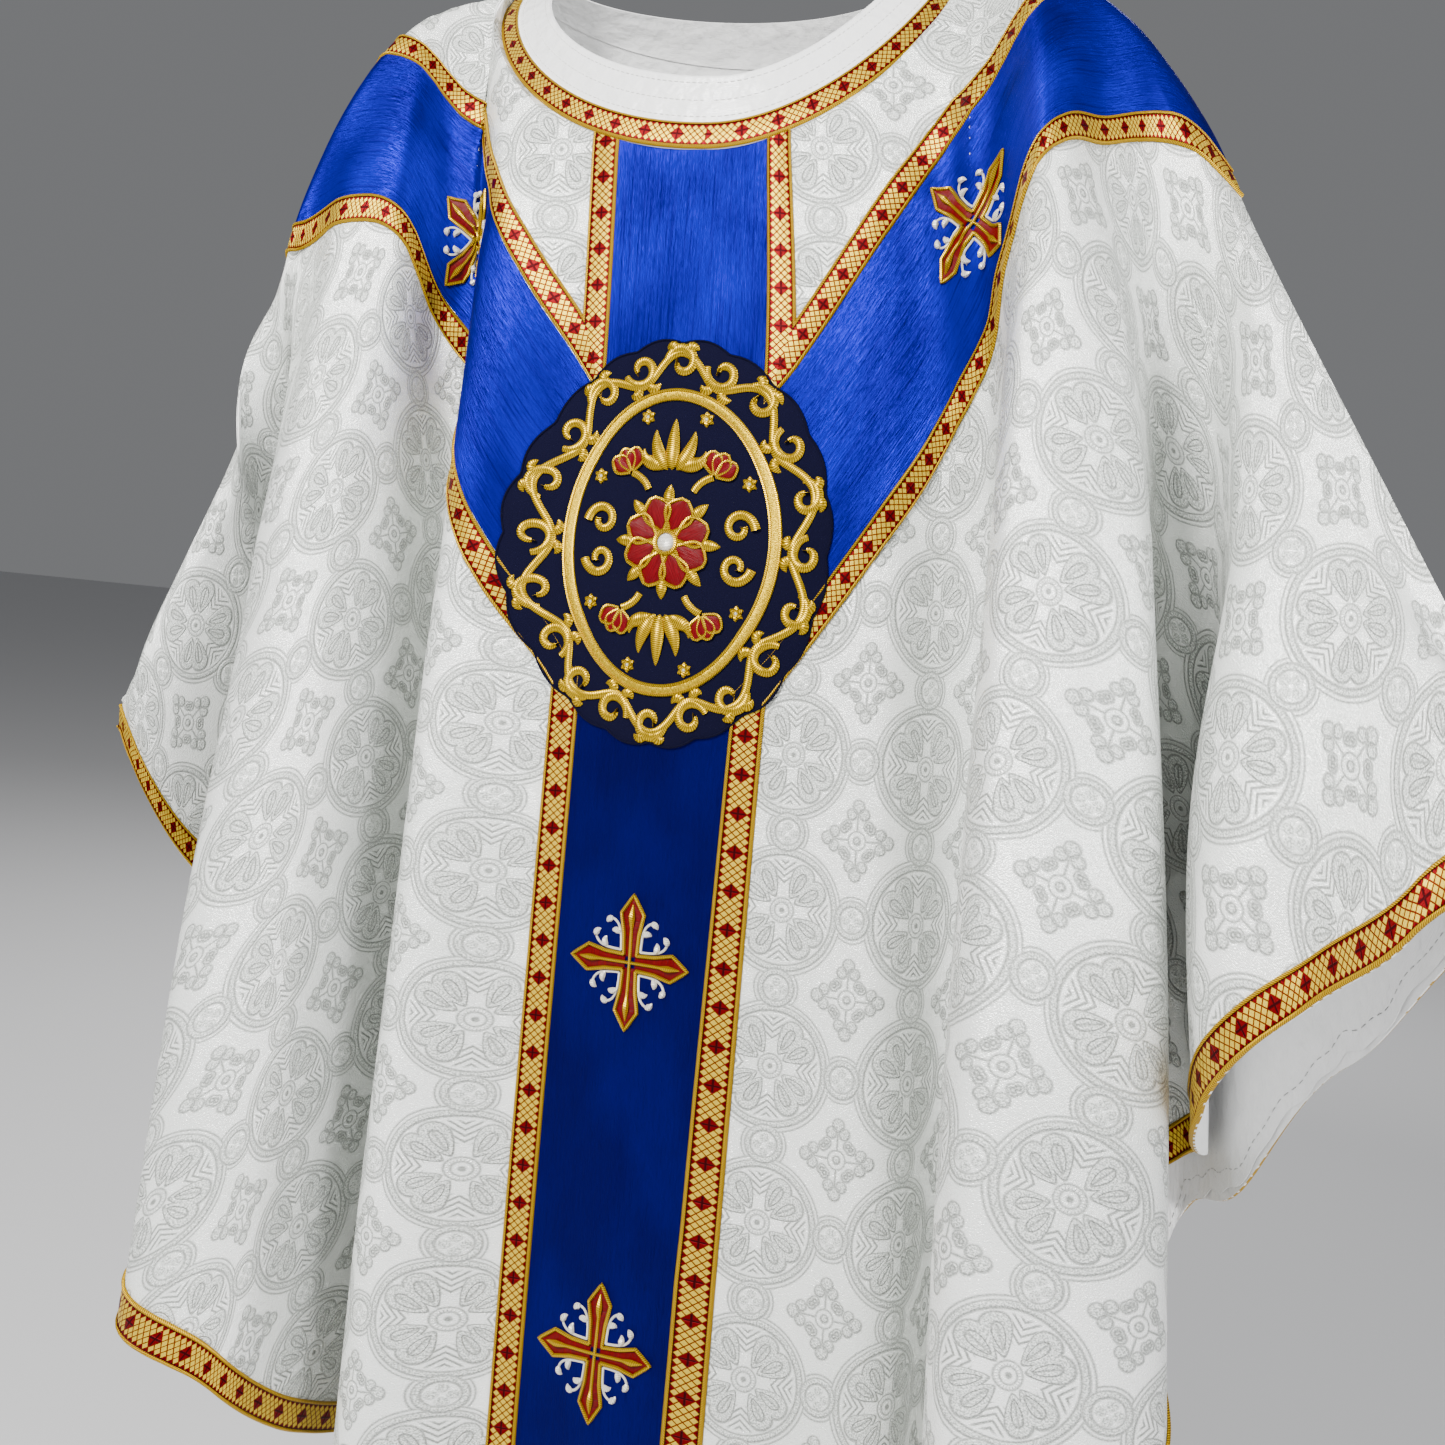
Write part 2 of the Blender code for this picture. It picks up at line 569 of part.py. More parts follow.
def arm_cross_at(side):
    """The flat middle of an arm's cross, on the arm's middle line."""
    across = ARM_WIDTH / 2 / math.cos(ARM_LEAN)
    s = COLUMN_HALF + across + ARM_CROSS_ALONG * math.sin(ARM_LEAN)
    return side * s, V_DEPTH - ARM_CROSS_ALONG * math.cos(ARM_LEAN)


def worn_cloth():
    """The worn cloth, and for the front and the back its grids and triangles."""
    cloth = Cloth()
    halves = {}
    top_left, top_right = stations(FRONT_LEFT), stations(FRONT_RIGHT)
    for name, left_table, right_table in (
        ("front", FRONT_LEFT, FRONT_RIGHT),
        ("back", BACK_LEFT, BACK_RIGHT),
    ):
        front = name == "front"
        left = quarter(left_table, SEAM_LEFT, front, 0, top_left)
        right = quarter(right_table, SEAM_RIGHT, front, 1, top_right)
        flat, place = both_sides(left[1:], right[1:])
        rings = [both_sides_row(a, b) for a, b in zip(left[0], right[0])]
        ring_flat = np.array([ring[0] for ring in rings])
        ring_place = np.array([ring[1] for ring in rings])
        main, neck = cloth.add(place), cloth.add(ring_place)
        last = len(ROWS) - 1
        half = {
            "main": main,
            "neck": neck,
            "flat": flat,
            "above hem": cells(main, flat, front, rows=range(last)),
            "hem": cells(main, flat, front, rows=[last]),
            "band": cells(neck, ring_flat, front, rows=[0]),
            "trim": cells(neck, ring_flat, front, rows=[1]),
        }
        keys = ("above hem", "hem", "band", "trim")
        cloth.triangles.append([numbers for key in keys for numbers, _ in half[key]])
        neck_right = right[0][2][0].shape[0] - 1
        middle = right[2].shape[1] - 1
        half["neck columns"] = (middle - neck_right, middle + left[0][2][0].shape[0] - 1)
        halves[name] = half
    cloth.close()
    cloth.points[:, 0] -= NECK_MIDDLE
    return cloth, halves


def parted(cloth, half):
    """Moves the points along the shoulder seams square to the seam, into their own half."""
    main, neck = half["main"], half["neck"]
    first, last = half["neck columns"]
    right = [main[-1, 0], *main[0, : first + 1], neck[1, 0]]
    inward_right = [main[-1, 1], main[1, 1], *main[1, 1 : first + 1], neck[1, 1]]
    left = [main[-1, -1], *main[0, : last - 1 : -1], neck[1, -1]]
    inward_left = [main[-1, -2], main[1, -2], *main[1, -2 : last - 1 : -1], neck[1, -2]]
    moved = {}
    for line, inward in ((right, inward_right), (left, inward_left)):
        tangent = np.gradient(cloth.points[line], axis=0)
        tangent /= np.linalg.norm(tangent, axis=1)[:, None]
        way = cloth.points[inward] - cloth.points[line]
        way -= (way * tangent).sum(axis=1)[:, None] * tangent
        way /= np.linalg.norm(way, axis=1)[:, None]
        for number, step in zip(line, way):
            moved[int(number)] = cloth.points[number] + SEAM_SHIFT * step
    return moved


def both_sides_row(left, right):
    """both_sides for a single row of points."""
    flat, place = both_sides(
        (left[0][None], left[1][None]), (right[0][None], right[1][None])
    )
    return flat[0], place[0]


def materials():
    return {
        "damask": material("damask", (0.80, 0.81, 0.79), 0.35),
        "lining": material("lining satin", (0.86, 0.86, 0.85), 0.25),
        "blue": material("blue dupion", (0.03, 0.06, 0.55), 0.35),
        "braid": material("gold and red braid", (0.62, 0.38, 0.10), 0.4, 0.3),
        "gold": material("gold thread", (0.80, 0.55, 0.12), 0.35, 0.6),
        "velvet": material("navy velvet", (0.008, 0.008, 0.06), 0.8),
        "red": material("red satin", (0.45, 0.04, 0.03), 0.4),
    }


def add_neck(cloth, halves, finish):
    """The band inside the neckline and the trim round it, each one ring."""
    rims = [(half["neck"][1], half["neck"][0]) for half in halves.values()]
    moved = nudged(cloth, {}, rims, GAP)
    triangles = halves["front"]["band"] + halves["back"]["band"]
    polygons = corners_of(cloth, triangles, moved)
    slab("neck_band", bare(polygons), -WALL, 0.0, finish["lining"])
    rims = [(half["neck"][2], half["neck"][1]) for half in halves.values()]
    moved = nudged(cloth, {}, rims, GAP)
    triangles = halves["front"]["trim"] + halves["back"]["trim"]
    polygons = corners_of(cloth, triangles, moved)
    slab("trim_neck", bare(polygons), SEWN, SEWN + BRAID, finish["braid"])


def add_orphrey(name, polygons, finish):
    """The column and the arms of one half of the cloth, with their braids."""
    inner = COLUMN_HALF - GALLOON
    column = clipped(polygons, beside_middle(1, FLAT_GAP - inner, inner - FLAT_GAP))
    slab(f"orphrey_column_{name}", bare(column), SEWN, SEWN + SATIN, finish["blue"])
    for side, word in ((1, "left"), (-1, "right")):
        across = GALLOON + FLAT_GAP, ARM_WIDTH - GALLOON - FLAT_GAP
        arm = along_arm(polygons, side, *across, [(side, 0.0, inner + FLAT_GAP)])
        slab(f"orphrey_arm_{name}_{word}", bare(arm), SEWN, SEWN + SATIN, finish["blue"])
        strip = beside_middle(side, inner, COLUMN_HALF)
        own_side = (side, 0.0, 0.0)
        at_upper, at_lower = [mitre(side, 0.0, 1), own_side], [mitre(side, ARM_WIDTH, -1), own_side]
        for place, pieces in (
            ("column_upper", clipped(polygons, [*strip, mitre(side, 0.0, -1)])),
            ("column_lower", clipped(polygons, [*strip, mitre(side, ARM_WIDTH, 1)])),
            ("arm_upper", along_arm(polygons, side, 0.0, GALLOON, at_upper)),
            ("arm_lower", along_arm(polygons, side, ARM_WIDTH - GALLOON, ARM_WIDTH, at_lower)),
        ):
            braid = bare(pieces)
            slab(f"galloon_{place}_{name}_{word}", braid, SEWN, SEWN + BRAID, finish["braid"])


def add_embroidery(polygons, finish):
    """The medallion and the crosses on the front."""
    planes = inside_outline(oval(MEDALLION_AT, MEDALLION_HALF, OVAL_SIDES))
    slab("medallion", bare(clipped(polygons, planes)), ON_SATIN, ON_SATIN + VELVET, finish["velvet"])
    ring = []
    for outline in ring_outlines(MEDALLION_AT, RING_HALF, RING_WIDTH, OVAL_SIDES):
        ring += clipped(polygons, inside_outline(outline))
    slab("medallion_ring", bare(ring), ON_VELVET, ON_VELVET + CORD, finish["gold"])
    places = [("column_upper", (0.0, COLUMN_CROSSES[0]), 0.0)]
    places.append(("column_lower", (0.0, COLUMN_CROSSES[1]), 0.0))
    places.append(("arm_left", arm_cross_at(1), -ARM_LEAN))
    places.append(("arm_right", arm_cross_at(-1), ARM_LEAN))
    for name, centre, turned in places:
        arms = []
        for outline in cross_outlines(centre, turned):
            arms += clipped(polygons, inside_outline(outline))
        slab(f"cross_{name}", bare(arms), ON_SATIN, ON_SATIN + CORD, finish["red"])


def add_lining(cloth, back, moved, finish):
    """The lining inside the back's sleeve ends, which shows below the front's sleeves."""
    main, flat = back["main"], back["flat"]
    rows = range(len(ROWS) - LINING_ROWS, len(ROWS))
    for word in ("left", "right"):
        side = 1 if word == "left" else -1
        outward = [side * s for s in flat[0, :, 0]]
        columns = [k for k in range(main.shape[1] - 1) if min(outward[k], outward[k + 1]) > LINING_FROM]
        triangles = cells(main, flat, False, rows=rows, columns=columns)
        polygons = corners_of(cloth, triangles, moved)
        low = -WALL - GAP - LINING
        slab(f"lining_sleeve_{word}", bare(polygons), low, -WALL - GAP, finish["lining"])


def build():
    for old in list(bpy.data.objects):
        bpy.data.objects.remove(old)
    finish = materials()
    cloth, halves = worn_cloth()
    add_neck(cloth, halves, finish)
    for name, half in halves.items():
        main = half["main"]
        moved = parted(cloth, half)
        triangles = half["above hem"] + half["hem"] + half["trim"]
        polygons = corners_of(cloth, triangles, moved)
        slab(f"panel_{name}", bare(polygons), -WALL, 0.0, finish["damask"])
        hem_moved = nudged(cloth, dict(moved), [(main[-2], main[-1])], GAP)
        polygons = corners_of(cloth, half["hem"], hem_moved)
        slab(f"trim_hem_{name}", bare(polygons), GAP, GAP + BRAID, finish["braid"])
        polygons = corners_of(cloth, half["above hem"], moved)
        add_orphrey(name, polygons, finish)
        if name == "front":
            add_embroidery(polygons, finish)
        else:
            add_lining(cloth, half, moved, finish)


build()
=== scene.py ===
"""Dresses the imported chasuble: fine cloth with creases, braids, embroidery, weave and light.

Metres, +Z up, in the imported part's frame. The cloth is worked out from the same flat cut
and the same table of hanging lines as the part's source, on a finer grid. Flat points
(s, t) on the cloth are s across from the centre line and t down from the neck side, and
they are the UV maps of the pieces too.
"""

import math

import bpy
import numpy as np
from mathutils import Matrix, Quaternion, Vector
from mathutils.bvhtree import BVHTree


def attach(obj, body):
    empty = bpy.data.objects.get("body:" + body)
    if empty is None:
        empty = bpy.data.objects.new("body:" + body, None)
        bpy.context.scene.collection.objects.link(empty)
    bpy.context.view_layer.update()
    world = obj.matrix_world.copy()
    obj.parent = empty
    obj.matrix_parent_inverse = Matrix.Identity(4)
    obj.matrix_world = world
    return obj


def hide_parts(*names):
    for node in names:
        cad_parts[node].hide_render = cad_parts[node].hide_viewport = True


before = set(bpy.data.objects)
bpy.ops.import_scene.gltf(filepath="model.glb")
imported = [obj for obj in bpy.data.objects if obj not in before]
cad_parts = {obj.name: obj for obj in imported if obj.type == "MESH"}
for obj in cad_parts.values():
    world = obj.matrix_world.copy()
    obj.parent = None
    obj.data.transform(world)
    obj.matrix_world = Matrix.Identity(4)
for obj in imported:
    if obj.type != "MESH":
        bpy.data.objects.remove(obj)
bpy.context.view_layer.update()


# The flat cut
HALF_WIDTH = 0.90
SEAM_SLOPE = 0.2126
FRONT_LENGTH = 1.29
BACK_LENGTH = 1.31
NECK_HALF_WIDTH = 0.135
FRONT_NECK_DEPTH = 0.157
BACK_NECK_DEPTH = 0.072
BAND = 0.038
GALLOON = 0.020

# The hem of the front from its middle to the sleeve tip, on the flat cloth
HEM_CUT = (
    # s, t
    (0.000, 1.290),
    (0.200, 1.272),
    (0.380, 1.210),
    (0.520, 1.110),
    (0.630, 0.965),
    (0.715, 0.780),
    (0.785, 0.560),
    (0.845, 0.340),
    (0.900, 0.163),
)

# The orphrey on the flat cloth
COLUMN_HALF = 0.080
ARM_WIDTH = 0.150
ARM_LEAN = math.radians(35)
V_DEPTH = 0.331
# Where an arm's upper edge bends, and how it leans from there to the shoulder seam
BEND_ACROSS = 0.195
OUTER_LEAN = math.radians(45)

# The medallion and the crosses on the flat front
MEDALLION_AT = (0.0, 0.490)
MEDALLION_HALF = (0.113, 0.137)
RING_HALF = (0.080, 0.106)
RING_WIDTH = 0.008
COLUMN_CROSSES = (0.779, 1.045)
ARM_CROSS_ALONG = 0.086

# Thicknesses, and the heights at which layers start above the cloth
CLOTH = 0.0012
SEWN = 0.0003
SATIN = 0.0009
BRAID = 0.0011
VELVET = 0.0012
PATCH = 0.0011
ON_PATCH = PATCH + VELVET - 0.0001
ON_SATIN = SATIN

SLOPE_ANGLE = math.atan(SEAM_SLOPE)
BEND_DEPTH = V_DEPTH - (BEND_ACROSS - COLUMN_HALF) / math.tan(ARM_LEAN)
NECK_SIDE = NECK_HALF_WIDTH + (BAND + GALLOON) * math.cos(SLOPE_ANGLE)
TIP = HALF_WIDTH - GALLOON
LINING_FROM = 0.43
SHARP_ANGLE = math.radians(40)

# The fine grid: its steps along the hem, its rows down the cloth, the samples of a hanging
# line, and the step along a braid
HEM_STEP = 0.0095
ROWS = np.linspace(0, 1, 112)
SAMPLES = 220
STEP = 0.0045
# The most that a short line bends out from the seam, over its length
MOST_BEND = 0.35

# Ornament
DAMASK_REPEAT = 0.104
PETAL_TURN = math.radians(30.5)
BRAID_REPEAT = 0.0262
SCALLOPS = 20
BORDER_BENDS = 20
BAND_STITCHES = (0.006, 0.020, 0.033)
BRAID_PLACES = ("column_upper", "column_lower", "arm_upper", "arm_lower")

FLOOR_Z = -1.34
FLOOR_REACH = 14.0
LIT_MIDDLE = (0.05, 0.0, -0.6)

# Soft creases, each along a straight line of the flat cloth
FRONT_CREASES = (
    # s, t at one end, s, t at the other, half width, height
    (0.16, 0.45, 0.20, 1.25, 0.030, 0.0053),
    (-0.13, 0.50, -0.20, 1.25, 0.032, 0.0060),
    (0.11, 0.60, 0.13, 1.20, 0.022, -0.0037),
    (-0.30, 0.35, -0.48, 1.05, 0.028, 0.0045),
    (0.40, 0.30, 0.60, 0.95, 0.030, 0.0060),
    (0.62, 0.22, 0.70, 0.70, 0.026, -0.0075),
    (0.74, 0.18, 0.80, 0.48, 0.024, 0.0067),
    (-0.62, 0.22, -0.72, 0.68, 0.026, 0.0060),
    (0.02, 0.66, 0.05, 0.98, 0.018, -0.0033),
    (-0.04, 0.64, 0.03, 0.80, 0.014, 0.0027),
    (0.05, 0.95, -0.03, 1.18, 0.020, 0.0033),
    (0.12, 0.20, 0.30, 0.34, 0.020, 0.0037),
    (-0.12, 0.20, -0.30, 0.34, 0.020, -0.0037),
    (0.34, 0.14, 0.50, 0.42, 0.024, -0.0048),
    (-0.34, 0.14, -0.50, 0.42, 0.022, 0.0045),
)
BACK_CREASES = (
    # s, t at one end, s, t at the other, half width, height
    (0.12, 0.40, 0.14, 1.25, 0.030, 0.0060),
    (-0.14, 0.45, -0.18, 1.25, 0.030, -0.0060),
    (0.32, 0.20, 0.46, 1.05, 0.030, 0.0067),
    (-0.32, 0.20, -0.50, 1.05, 0.030, 0.0067),
    (0.60, 0.20, 0.70, 0.70, 0.026, 0.0067),
    (-0.60, 0.20, -0.72, 0.70, 0.026, -0.0067),
    (0.02, 0.55, -0.03, 1.10, 0.020, 0.0042),
    (0.18, 0.14, 0.02, 0.32, 0.022, 0.0045),
    (-0.18, 0.14, -0.02, 0.34, 0.022, -0.0042),
)

# Neck rings: the half widths, the middle's y and z in front and behind, and the sides' z
NECK_RINGS = (
    # left, right, front y, front z, back y, back z, side z
    (0.100, 0.186, -0.116, -0.110, 0.075, -0.012, 0.000),
    (0.132, 0.212, -0.125, -0.146, 0.096, -0.042, -0.007),
    (0.148, 0.225, -0.130, -0.165, 0.104, -0.060, -0.012),
)
NECK_MIDDLE = -0.040
BACK_MIDDLE = -0.035

# The shoulder seams from the neck to the sleeve tip: flat s, then x, y, z, and the radius
# over which the cloth bends from the seam to hang
SEAM_LEFT = (
    # s, x, y, z, bend
    (NECK_SIDE, 0.148, 0.000, -0.012, 0.020),
    (0.250, 0.205, -0.003, -0.022, 0.032),
    (0.340, 0.280, -0.020, -0.066, 0.042),
    (0.430, 0.330, -0.058, -0.132, 0.045),
    (0.520, 0.370, -0.112, -0.212, 0.045),
    (0.700, 0.457, -0.188, -0.372, 0.042),
    (HALF_WIDTH, 0.562, -0.278, -0.562, 0.024),
)
SEAM_RIGHT = (
    # s, x, y, z, bend
    (NECK_SIDE, 0.225, 0.000, -0.012, 0.020),
    (0.250, 0.272, -0.022, -0.040, 0.032),
    (0.340, 0.312, -0.062, -0.112, 0.042),
    (0.430, 0.336, -0.094, -0.195, 0.045),
    (0.520, 0.343, -0.112, -0.285, 0.045),
    (0.700, 0.378, -0.143, -0.450, 0.046),
    (HALF_WIDTH, 0.420, -0.174, -0.612, 0.030),
)

# Lines of the cloth. top is the flat s where a line starts, hem the flat distance along
# the hem from its middle to where it ends, reach its hanging length over its flat length.
# Then x and y at PLACES, shares of its length.
PLACES = (0.14, 0.40, 0.70, 1.00)
FRONT_LEFT = (
    # name, top, hem, reach, x, y, x, y, x, y, x, y
    ("centre", 0.000, 0.000, 1.00, 0.000, -0.137, 0.000, -0.143, 0.000, -0.150, 0.000, -0.155),
    ("column side", 0.080, 0.080, 1.00, 0.080, -0.134, 0.080, -0.140, 0.080, -0.147, 0.080, -0.150),
    ("inner sheet", 0.125, 0.205, 1.00, 0.128, -0.124, 0.150, -0.136, 0.178, -0.142, 0.195, -0.142),
    ("inner fold", NECK_SIDE, 0.320, 1.00, 0.180, -0.104, 0.204, -0.102, 0.217, -0.082, 0.222, -0.066),
    ("fold, far side", 0.205, 0.360, 1.00, 0.194, -0.107, 0.218, -0.106, 0.233, -0.084, 0.242, -0.068),
    ("ridge edge", 0.240, 0.540, 1.00, 0.228, -0.135, 0.240, -0.215, 0.249, -0.275, 0.257, -0.275),
    ("ridge", 0.280, 0.620, 1.00, 0.250, -0.138, 0.272, -0.232, 0.300, -0.305, 0.308, -0.300),
    ("ridge side", 0.325, 0.720, 1.00, 0.276, -0.122, 0.318, -0.205, 0.355, -0.250, 0.380, -0.243),
    ("outer fold", 0.412, 0.950, 1.00, 0.318, -0.110, 0.330, -0.085, 0.335, -0.055, 0.335, -0.022),
    ("fold, far side", 0.432, 1.000, 1.00, 0.332, -0.110, 0.350, -0.084, 0.358, -0.052, 0.362, -0.022),
    ("sleeve root", 0.530, 1.250, 1.10, 0.382, -0.150, 0.376, -0.182, 0.369, -0.222, 0.386, -0.238),
    ("sleeve", 0.660, 1.390, 1.12, 0.444, -0.198, 0.448, -0.232, 0.446, -0.265, 0.442, -0.286),
    ("cuff", 0.800, 1.520, 1.27, 0.512, -0.256, 0.512, -0.278, 0.511, -0.296, 0.510, -0.308),
)
FRONT_RIGHT = (
    # name, top, hem, reach, x, y, x, y, x, y, x, y
    ("centre", 0.000, 0.000, 1.00, 0.000, -0.137, 0.000, -0.143, 0.000, -0.150, 0.000, -0.155),
    ("column side", 0.080, 0.080, 1.00, 0.080, -0.134, 0.080, -0.140, 0.080, -0.147, 0.080, -0.150),
    ("inner edge", 0.150, 0.205, 1.00, 0.163, -0.134, 0.176, -0.148, 0.176, -0.168, 0.178, -0.190),
    ("inner fold", NECK_SIDE, 0.390, 1.00, 0.200, -0.088, 0.196, -0.060, 0.191, -0.024, 0.188, 0.008),
    ("fold, far side", 0.205, 0.430, 1.00, 0.216, -0.090, 0.212, -0.062, 0.208, -0.024, 0.207, 0.008),
    ("face", 0.260, 0.620, 1.00, 0.248, -0.118, 0.226, -0.150, 0.216, -0.180, 0.216, -0.205),
    ("ridge", 0.320, 0.730, 1.00, 0.285, -0.128, 0.256, -0.190, 0.240, -0.228, 0.240, -0.262),
    ("silhouette", 0.390, 0.840, 1.00, 0.322, -0.125, 0.308, -0.178, 0.306, -0.232, 0.312, -0.256),
    ("outer fold", 0.490, 1.080, 1.00, 0.333, -0.143, 0.312, -0.066, 0.284, -0.014, 0.262, 0.024),
    ("fold, far side", 0.515, 1.130, 1.00, 0.344, -0.152, 0.326, -0.068, 0.304, -0.008, 0.286, 0.028),
    ("sleeve root", 0.600, 1.260, 1.00, 0.352, -0.150, 0.344, -0.112, 0.334, -0.072, 0.328, -0.050),
    ("sleeve", 0.700, 1.390, 1.00, 0.385, -0.172, 0.378, -0.162, 0.370, -0.150, 0.364, -0.140),
    ("cuff", 0.800, 1.510, 1.00, 0.408, -0.184, 0.404, -0.182, 0.400, -0.178, 0.397, -0.174),
)
BACK_LEFT = (
    # name, top, hem, reach, x, y, x, y, x, y, x, y
    ("centre", 0.000, 0.000, 1.00, -0.035, 0.112, -0.035, 0.128, -0.032, 0.150, -0.030, 0.172),
    ("column side", 0.080, 0.080, 1.00, 0.045, 0.110, 0.045, 0.126, 0.048, 0.147, 0.050, 0.168),
    ("inner sheet", 0.130, 0.210, 1.00, 0.100, 0.100, 0.115, 0.110, 0.132, 0.120, 0.150, 0.132),
    ("inner fold", NECK_SIDE, 0.360, 1.00, 0.155, 0.084, 0.170, 0.072, 0.190, 0.060, 0.212, 0.055),
    ("ridge", 0.245, 0.520, 1.00, 0.205, 0.066, 0.228, 0.104, 0.258, 0.140, 0.290, 0.168),
    ("ridge side", 0.310, 0.660, 1.00, 0.258, 0.040, 0.284, 0.075, 0.308, 0.108, 0.326, 0.128),
    ("outer fold", 0.390, 0.860, 1.00, 0.312, -0.002, 0.332, 0.005, 0.340, 0.010, 0.338, 0.020),
    ("sleeve root", 0.480, 1.050, 1.05, 0.352, -0.050, 0.364, -0.020, 0.370, 0.000, 0.368, 0.010),
    ("sleeve", 0.580, 1.210, 1.15, 0.396, -0.100, 0.400, -0.080, 0.402, -0.075, 0.405, -0.085),
    ("forearm", 0.690, 1.360, 1.20, 0.446, -0.150, 0.450, -0.135, 0.452, -0.125, 0.455, -0.120),
    ("cuff", 0.800, 1.510, 1.50, 0.505, -0.204, 0.505, -0.190, 0.505, -0.178, 0.505, -0.168),
)
BACK_RIGHT = (
    # name, top, hem, reach, x, y, x, y, x, y, x, y
    ("centre", 0.000, 0.000, 1.00, 0.035, 0.112, 0.035, 0.128, 0.032, 0.150, 0.030, 0.172),
    ("column side", 0.080, 0.080, 1.00, 0.115, 0.110, 0.115, 0.126, 0.112, 0.147, 0.110, 0.168),
    ("inner sheet", 0.130, 0.210, 1.00, 0.168, 0.100, 0.176, 0.108, 0.184, 0.116, 0.196, 0.126),
    ("inner fold", NECK_SIDE, 0.360, 1.00, 0.225, 0.078, 0.232, 0.070, 0.240, 0.062, 0.252, 0.062),
    ("ridge", 0.245, 0.520, 1.00, 0.262, 0.058, 0.272, 0.092, 0.290, 0.125, 0.312, 0.150),
    ("ridge side", 0.310, 0.660, 1.00, 0.300, 0.018, 0.316, 0.060, 0.340, 0.096, 0.366, 0.118),
    ("outer fold", 0.390, 0.860, 1.00, 0.328, -0.025, 0.342, 0.014, 0.360, 0.052, 0.380, 0.082),
    ("sleeve root", 0.480, 1.060, 1.00, 0.345, -0.050, 0.356, 0.004, 0.374, 0.042, 0.392, 0.068),
    ("sleeve", 0.580, 1.230, 1.00, 0.360, -0.070, 0.366, -0.022, 0.376, 0.012, 0.386, 0.030),
    ("forearm", 0.690, 1.380, 1.00, 0.381, -0.088, 0.385, -0.055, 0.390, -0.030, 0.395, -0.012),
    ("cuff", 0.800, 1.510, 1.00, 0.400, -0.122, 0.401, -0.100, 0.402, -0.084, 0.403, -0.072),
)


def unit(vectors):
    """Vectors brought to length 1."""
    return vectors / np.maximum(np.linalg.norm(vectors, axis=-1, keepdims=True), 1e-12)


def along(points):
    """Distance along a row of points, from its first."""
    return np.r_[0.0, np.cumsum(np.linalg.norm(np.diff(points, axis=0), axis=1))]


def looked_up(at, knots, rows):
    """Rows of values between those at rising knots."""
    return np.column_stack([np.interp(at, knots, column) for column in np.transpose(rows)])


def crossed(a, b):
    """The cross product of flat vectors."""
    return a[..., 0] * b[..., 1] - a[..., 1] * b[..., 0]


def cells(grid):
    """The four corners of each cell of a grid."""
    return np.stack([grid[:-1, :-1], grid[1:, :-1], grid[1:, 1:], grid[:-1, 1:]], axis=2)


def triangles_of(shape):
    """The triangles of a grid of points, as point numbers: a first and a second to each cell."""
    quads = cells(np.arange(shape[0] * shape[1]).reshape(shape[:2])).reshape(-1, 4)
    return quads[:, [0, 1, 2]], quads[:, [0, 2, 3]]


def smooth(knots, values, at):
    """A curve through rows of values at rising knots, with three-point slopes."""
    knots = np.asarray(knots, float)
    values = np.asarray(values, float).reshape(len(knots), -1)
    at = np.clip(np.atleast_1d(at), knots[0], knots[-1])
    step = np.diff(knots)[:, None]
    rate = np.diff(values, axis=0) / step
    middle = (rate[:-1] * step[1:] + rate[1:] * step[:-1]) / (step[:-1] + step[1:])
    slope = np.vstack([rate[:1], middle, rate[-1:]])
    i = np.clip(np.searchsorted(knots, at, side="right") - 1, 0, len(knots) - 2)
    width = step[i]
    u = (at - knots[i])[:, None] / width
    start = (1 + 2 * u) * (1 - u) ** 2 * values[i] + u * (1 - u) ** 2 * width * slope[i]
    end = u**2 * (3 - 2 * u) * values[i + 1] + u**2 * (u - 1) * width * slope[i + 1]
    return start + end


def hem_outline(length):
    """The flat outline from the middle of the hem to the sleeve tip, with its distances."""
    cut = np.array(HEM_CUT)
    tip_depth = (HALF_WIDTH - NECK_HALF_WIDTH) * SEAM_SLOPE
    cut[:, 1] -= cut[-1, 1]
    cut[:, 1] *= (length - tip_depth) / cut[0, 1]
    chord = along(cut)
    points = smooth(chord, cut, np.linspace(0, chord[-1], 2001))
    points[:, 1] += tip_depth
    return points, along(points)


def inward_of(hem):
    """Flat directions from the points of a hem into the cloth."""
    ahead = unit(np.gradient(hem, axis=0))
    return np.column_stack([ahead[:, 1], -ahead[:, 0]])


def neck_flat(angle, depth, distance):
    """Flat points at a distance outside the neckline. Angle 0 is the middle."""
    sine, cosine = np.sin(angle), np.cos(angle)
    x, y = unit(np.column_stack([depth * sine, NECK_HALF_WIDTH * cosine])).T
    tilt = SLOPE_ANGLE * (angle / (math.pi / 2)) ** 4
    turned = [x * np.cos(tilt) - y * np.sin(tilt), x * np.sin(tilt) + y * np.cos(tilt)]
    return np.column_stack([NECK_HALF_WIDTH * sine, depth * cosine]) + distance * np.column_stack(turned)


def neck_place(ring, angle, front, side):
    """The neck ring's points in space on one side. side is 0 for the left, 1 for the right."""
    half = ring[side]
    front_y, front_z, back_y, back_z, side_z = ring[2:]
    y, z = (front_y, front_z) if front else (back_y, back_z)
    middle = 0.0 if front else BACK_MIDDLE * (1, -1)[side]
    cosine = np.clip(np.cos(angle), 0, 1)
    across = middle + (half - middle) * np.sin(angle)
    return np.column_stack([across, y * cosine, side_z + (z - side_z) * cosine**1.25])


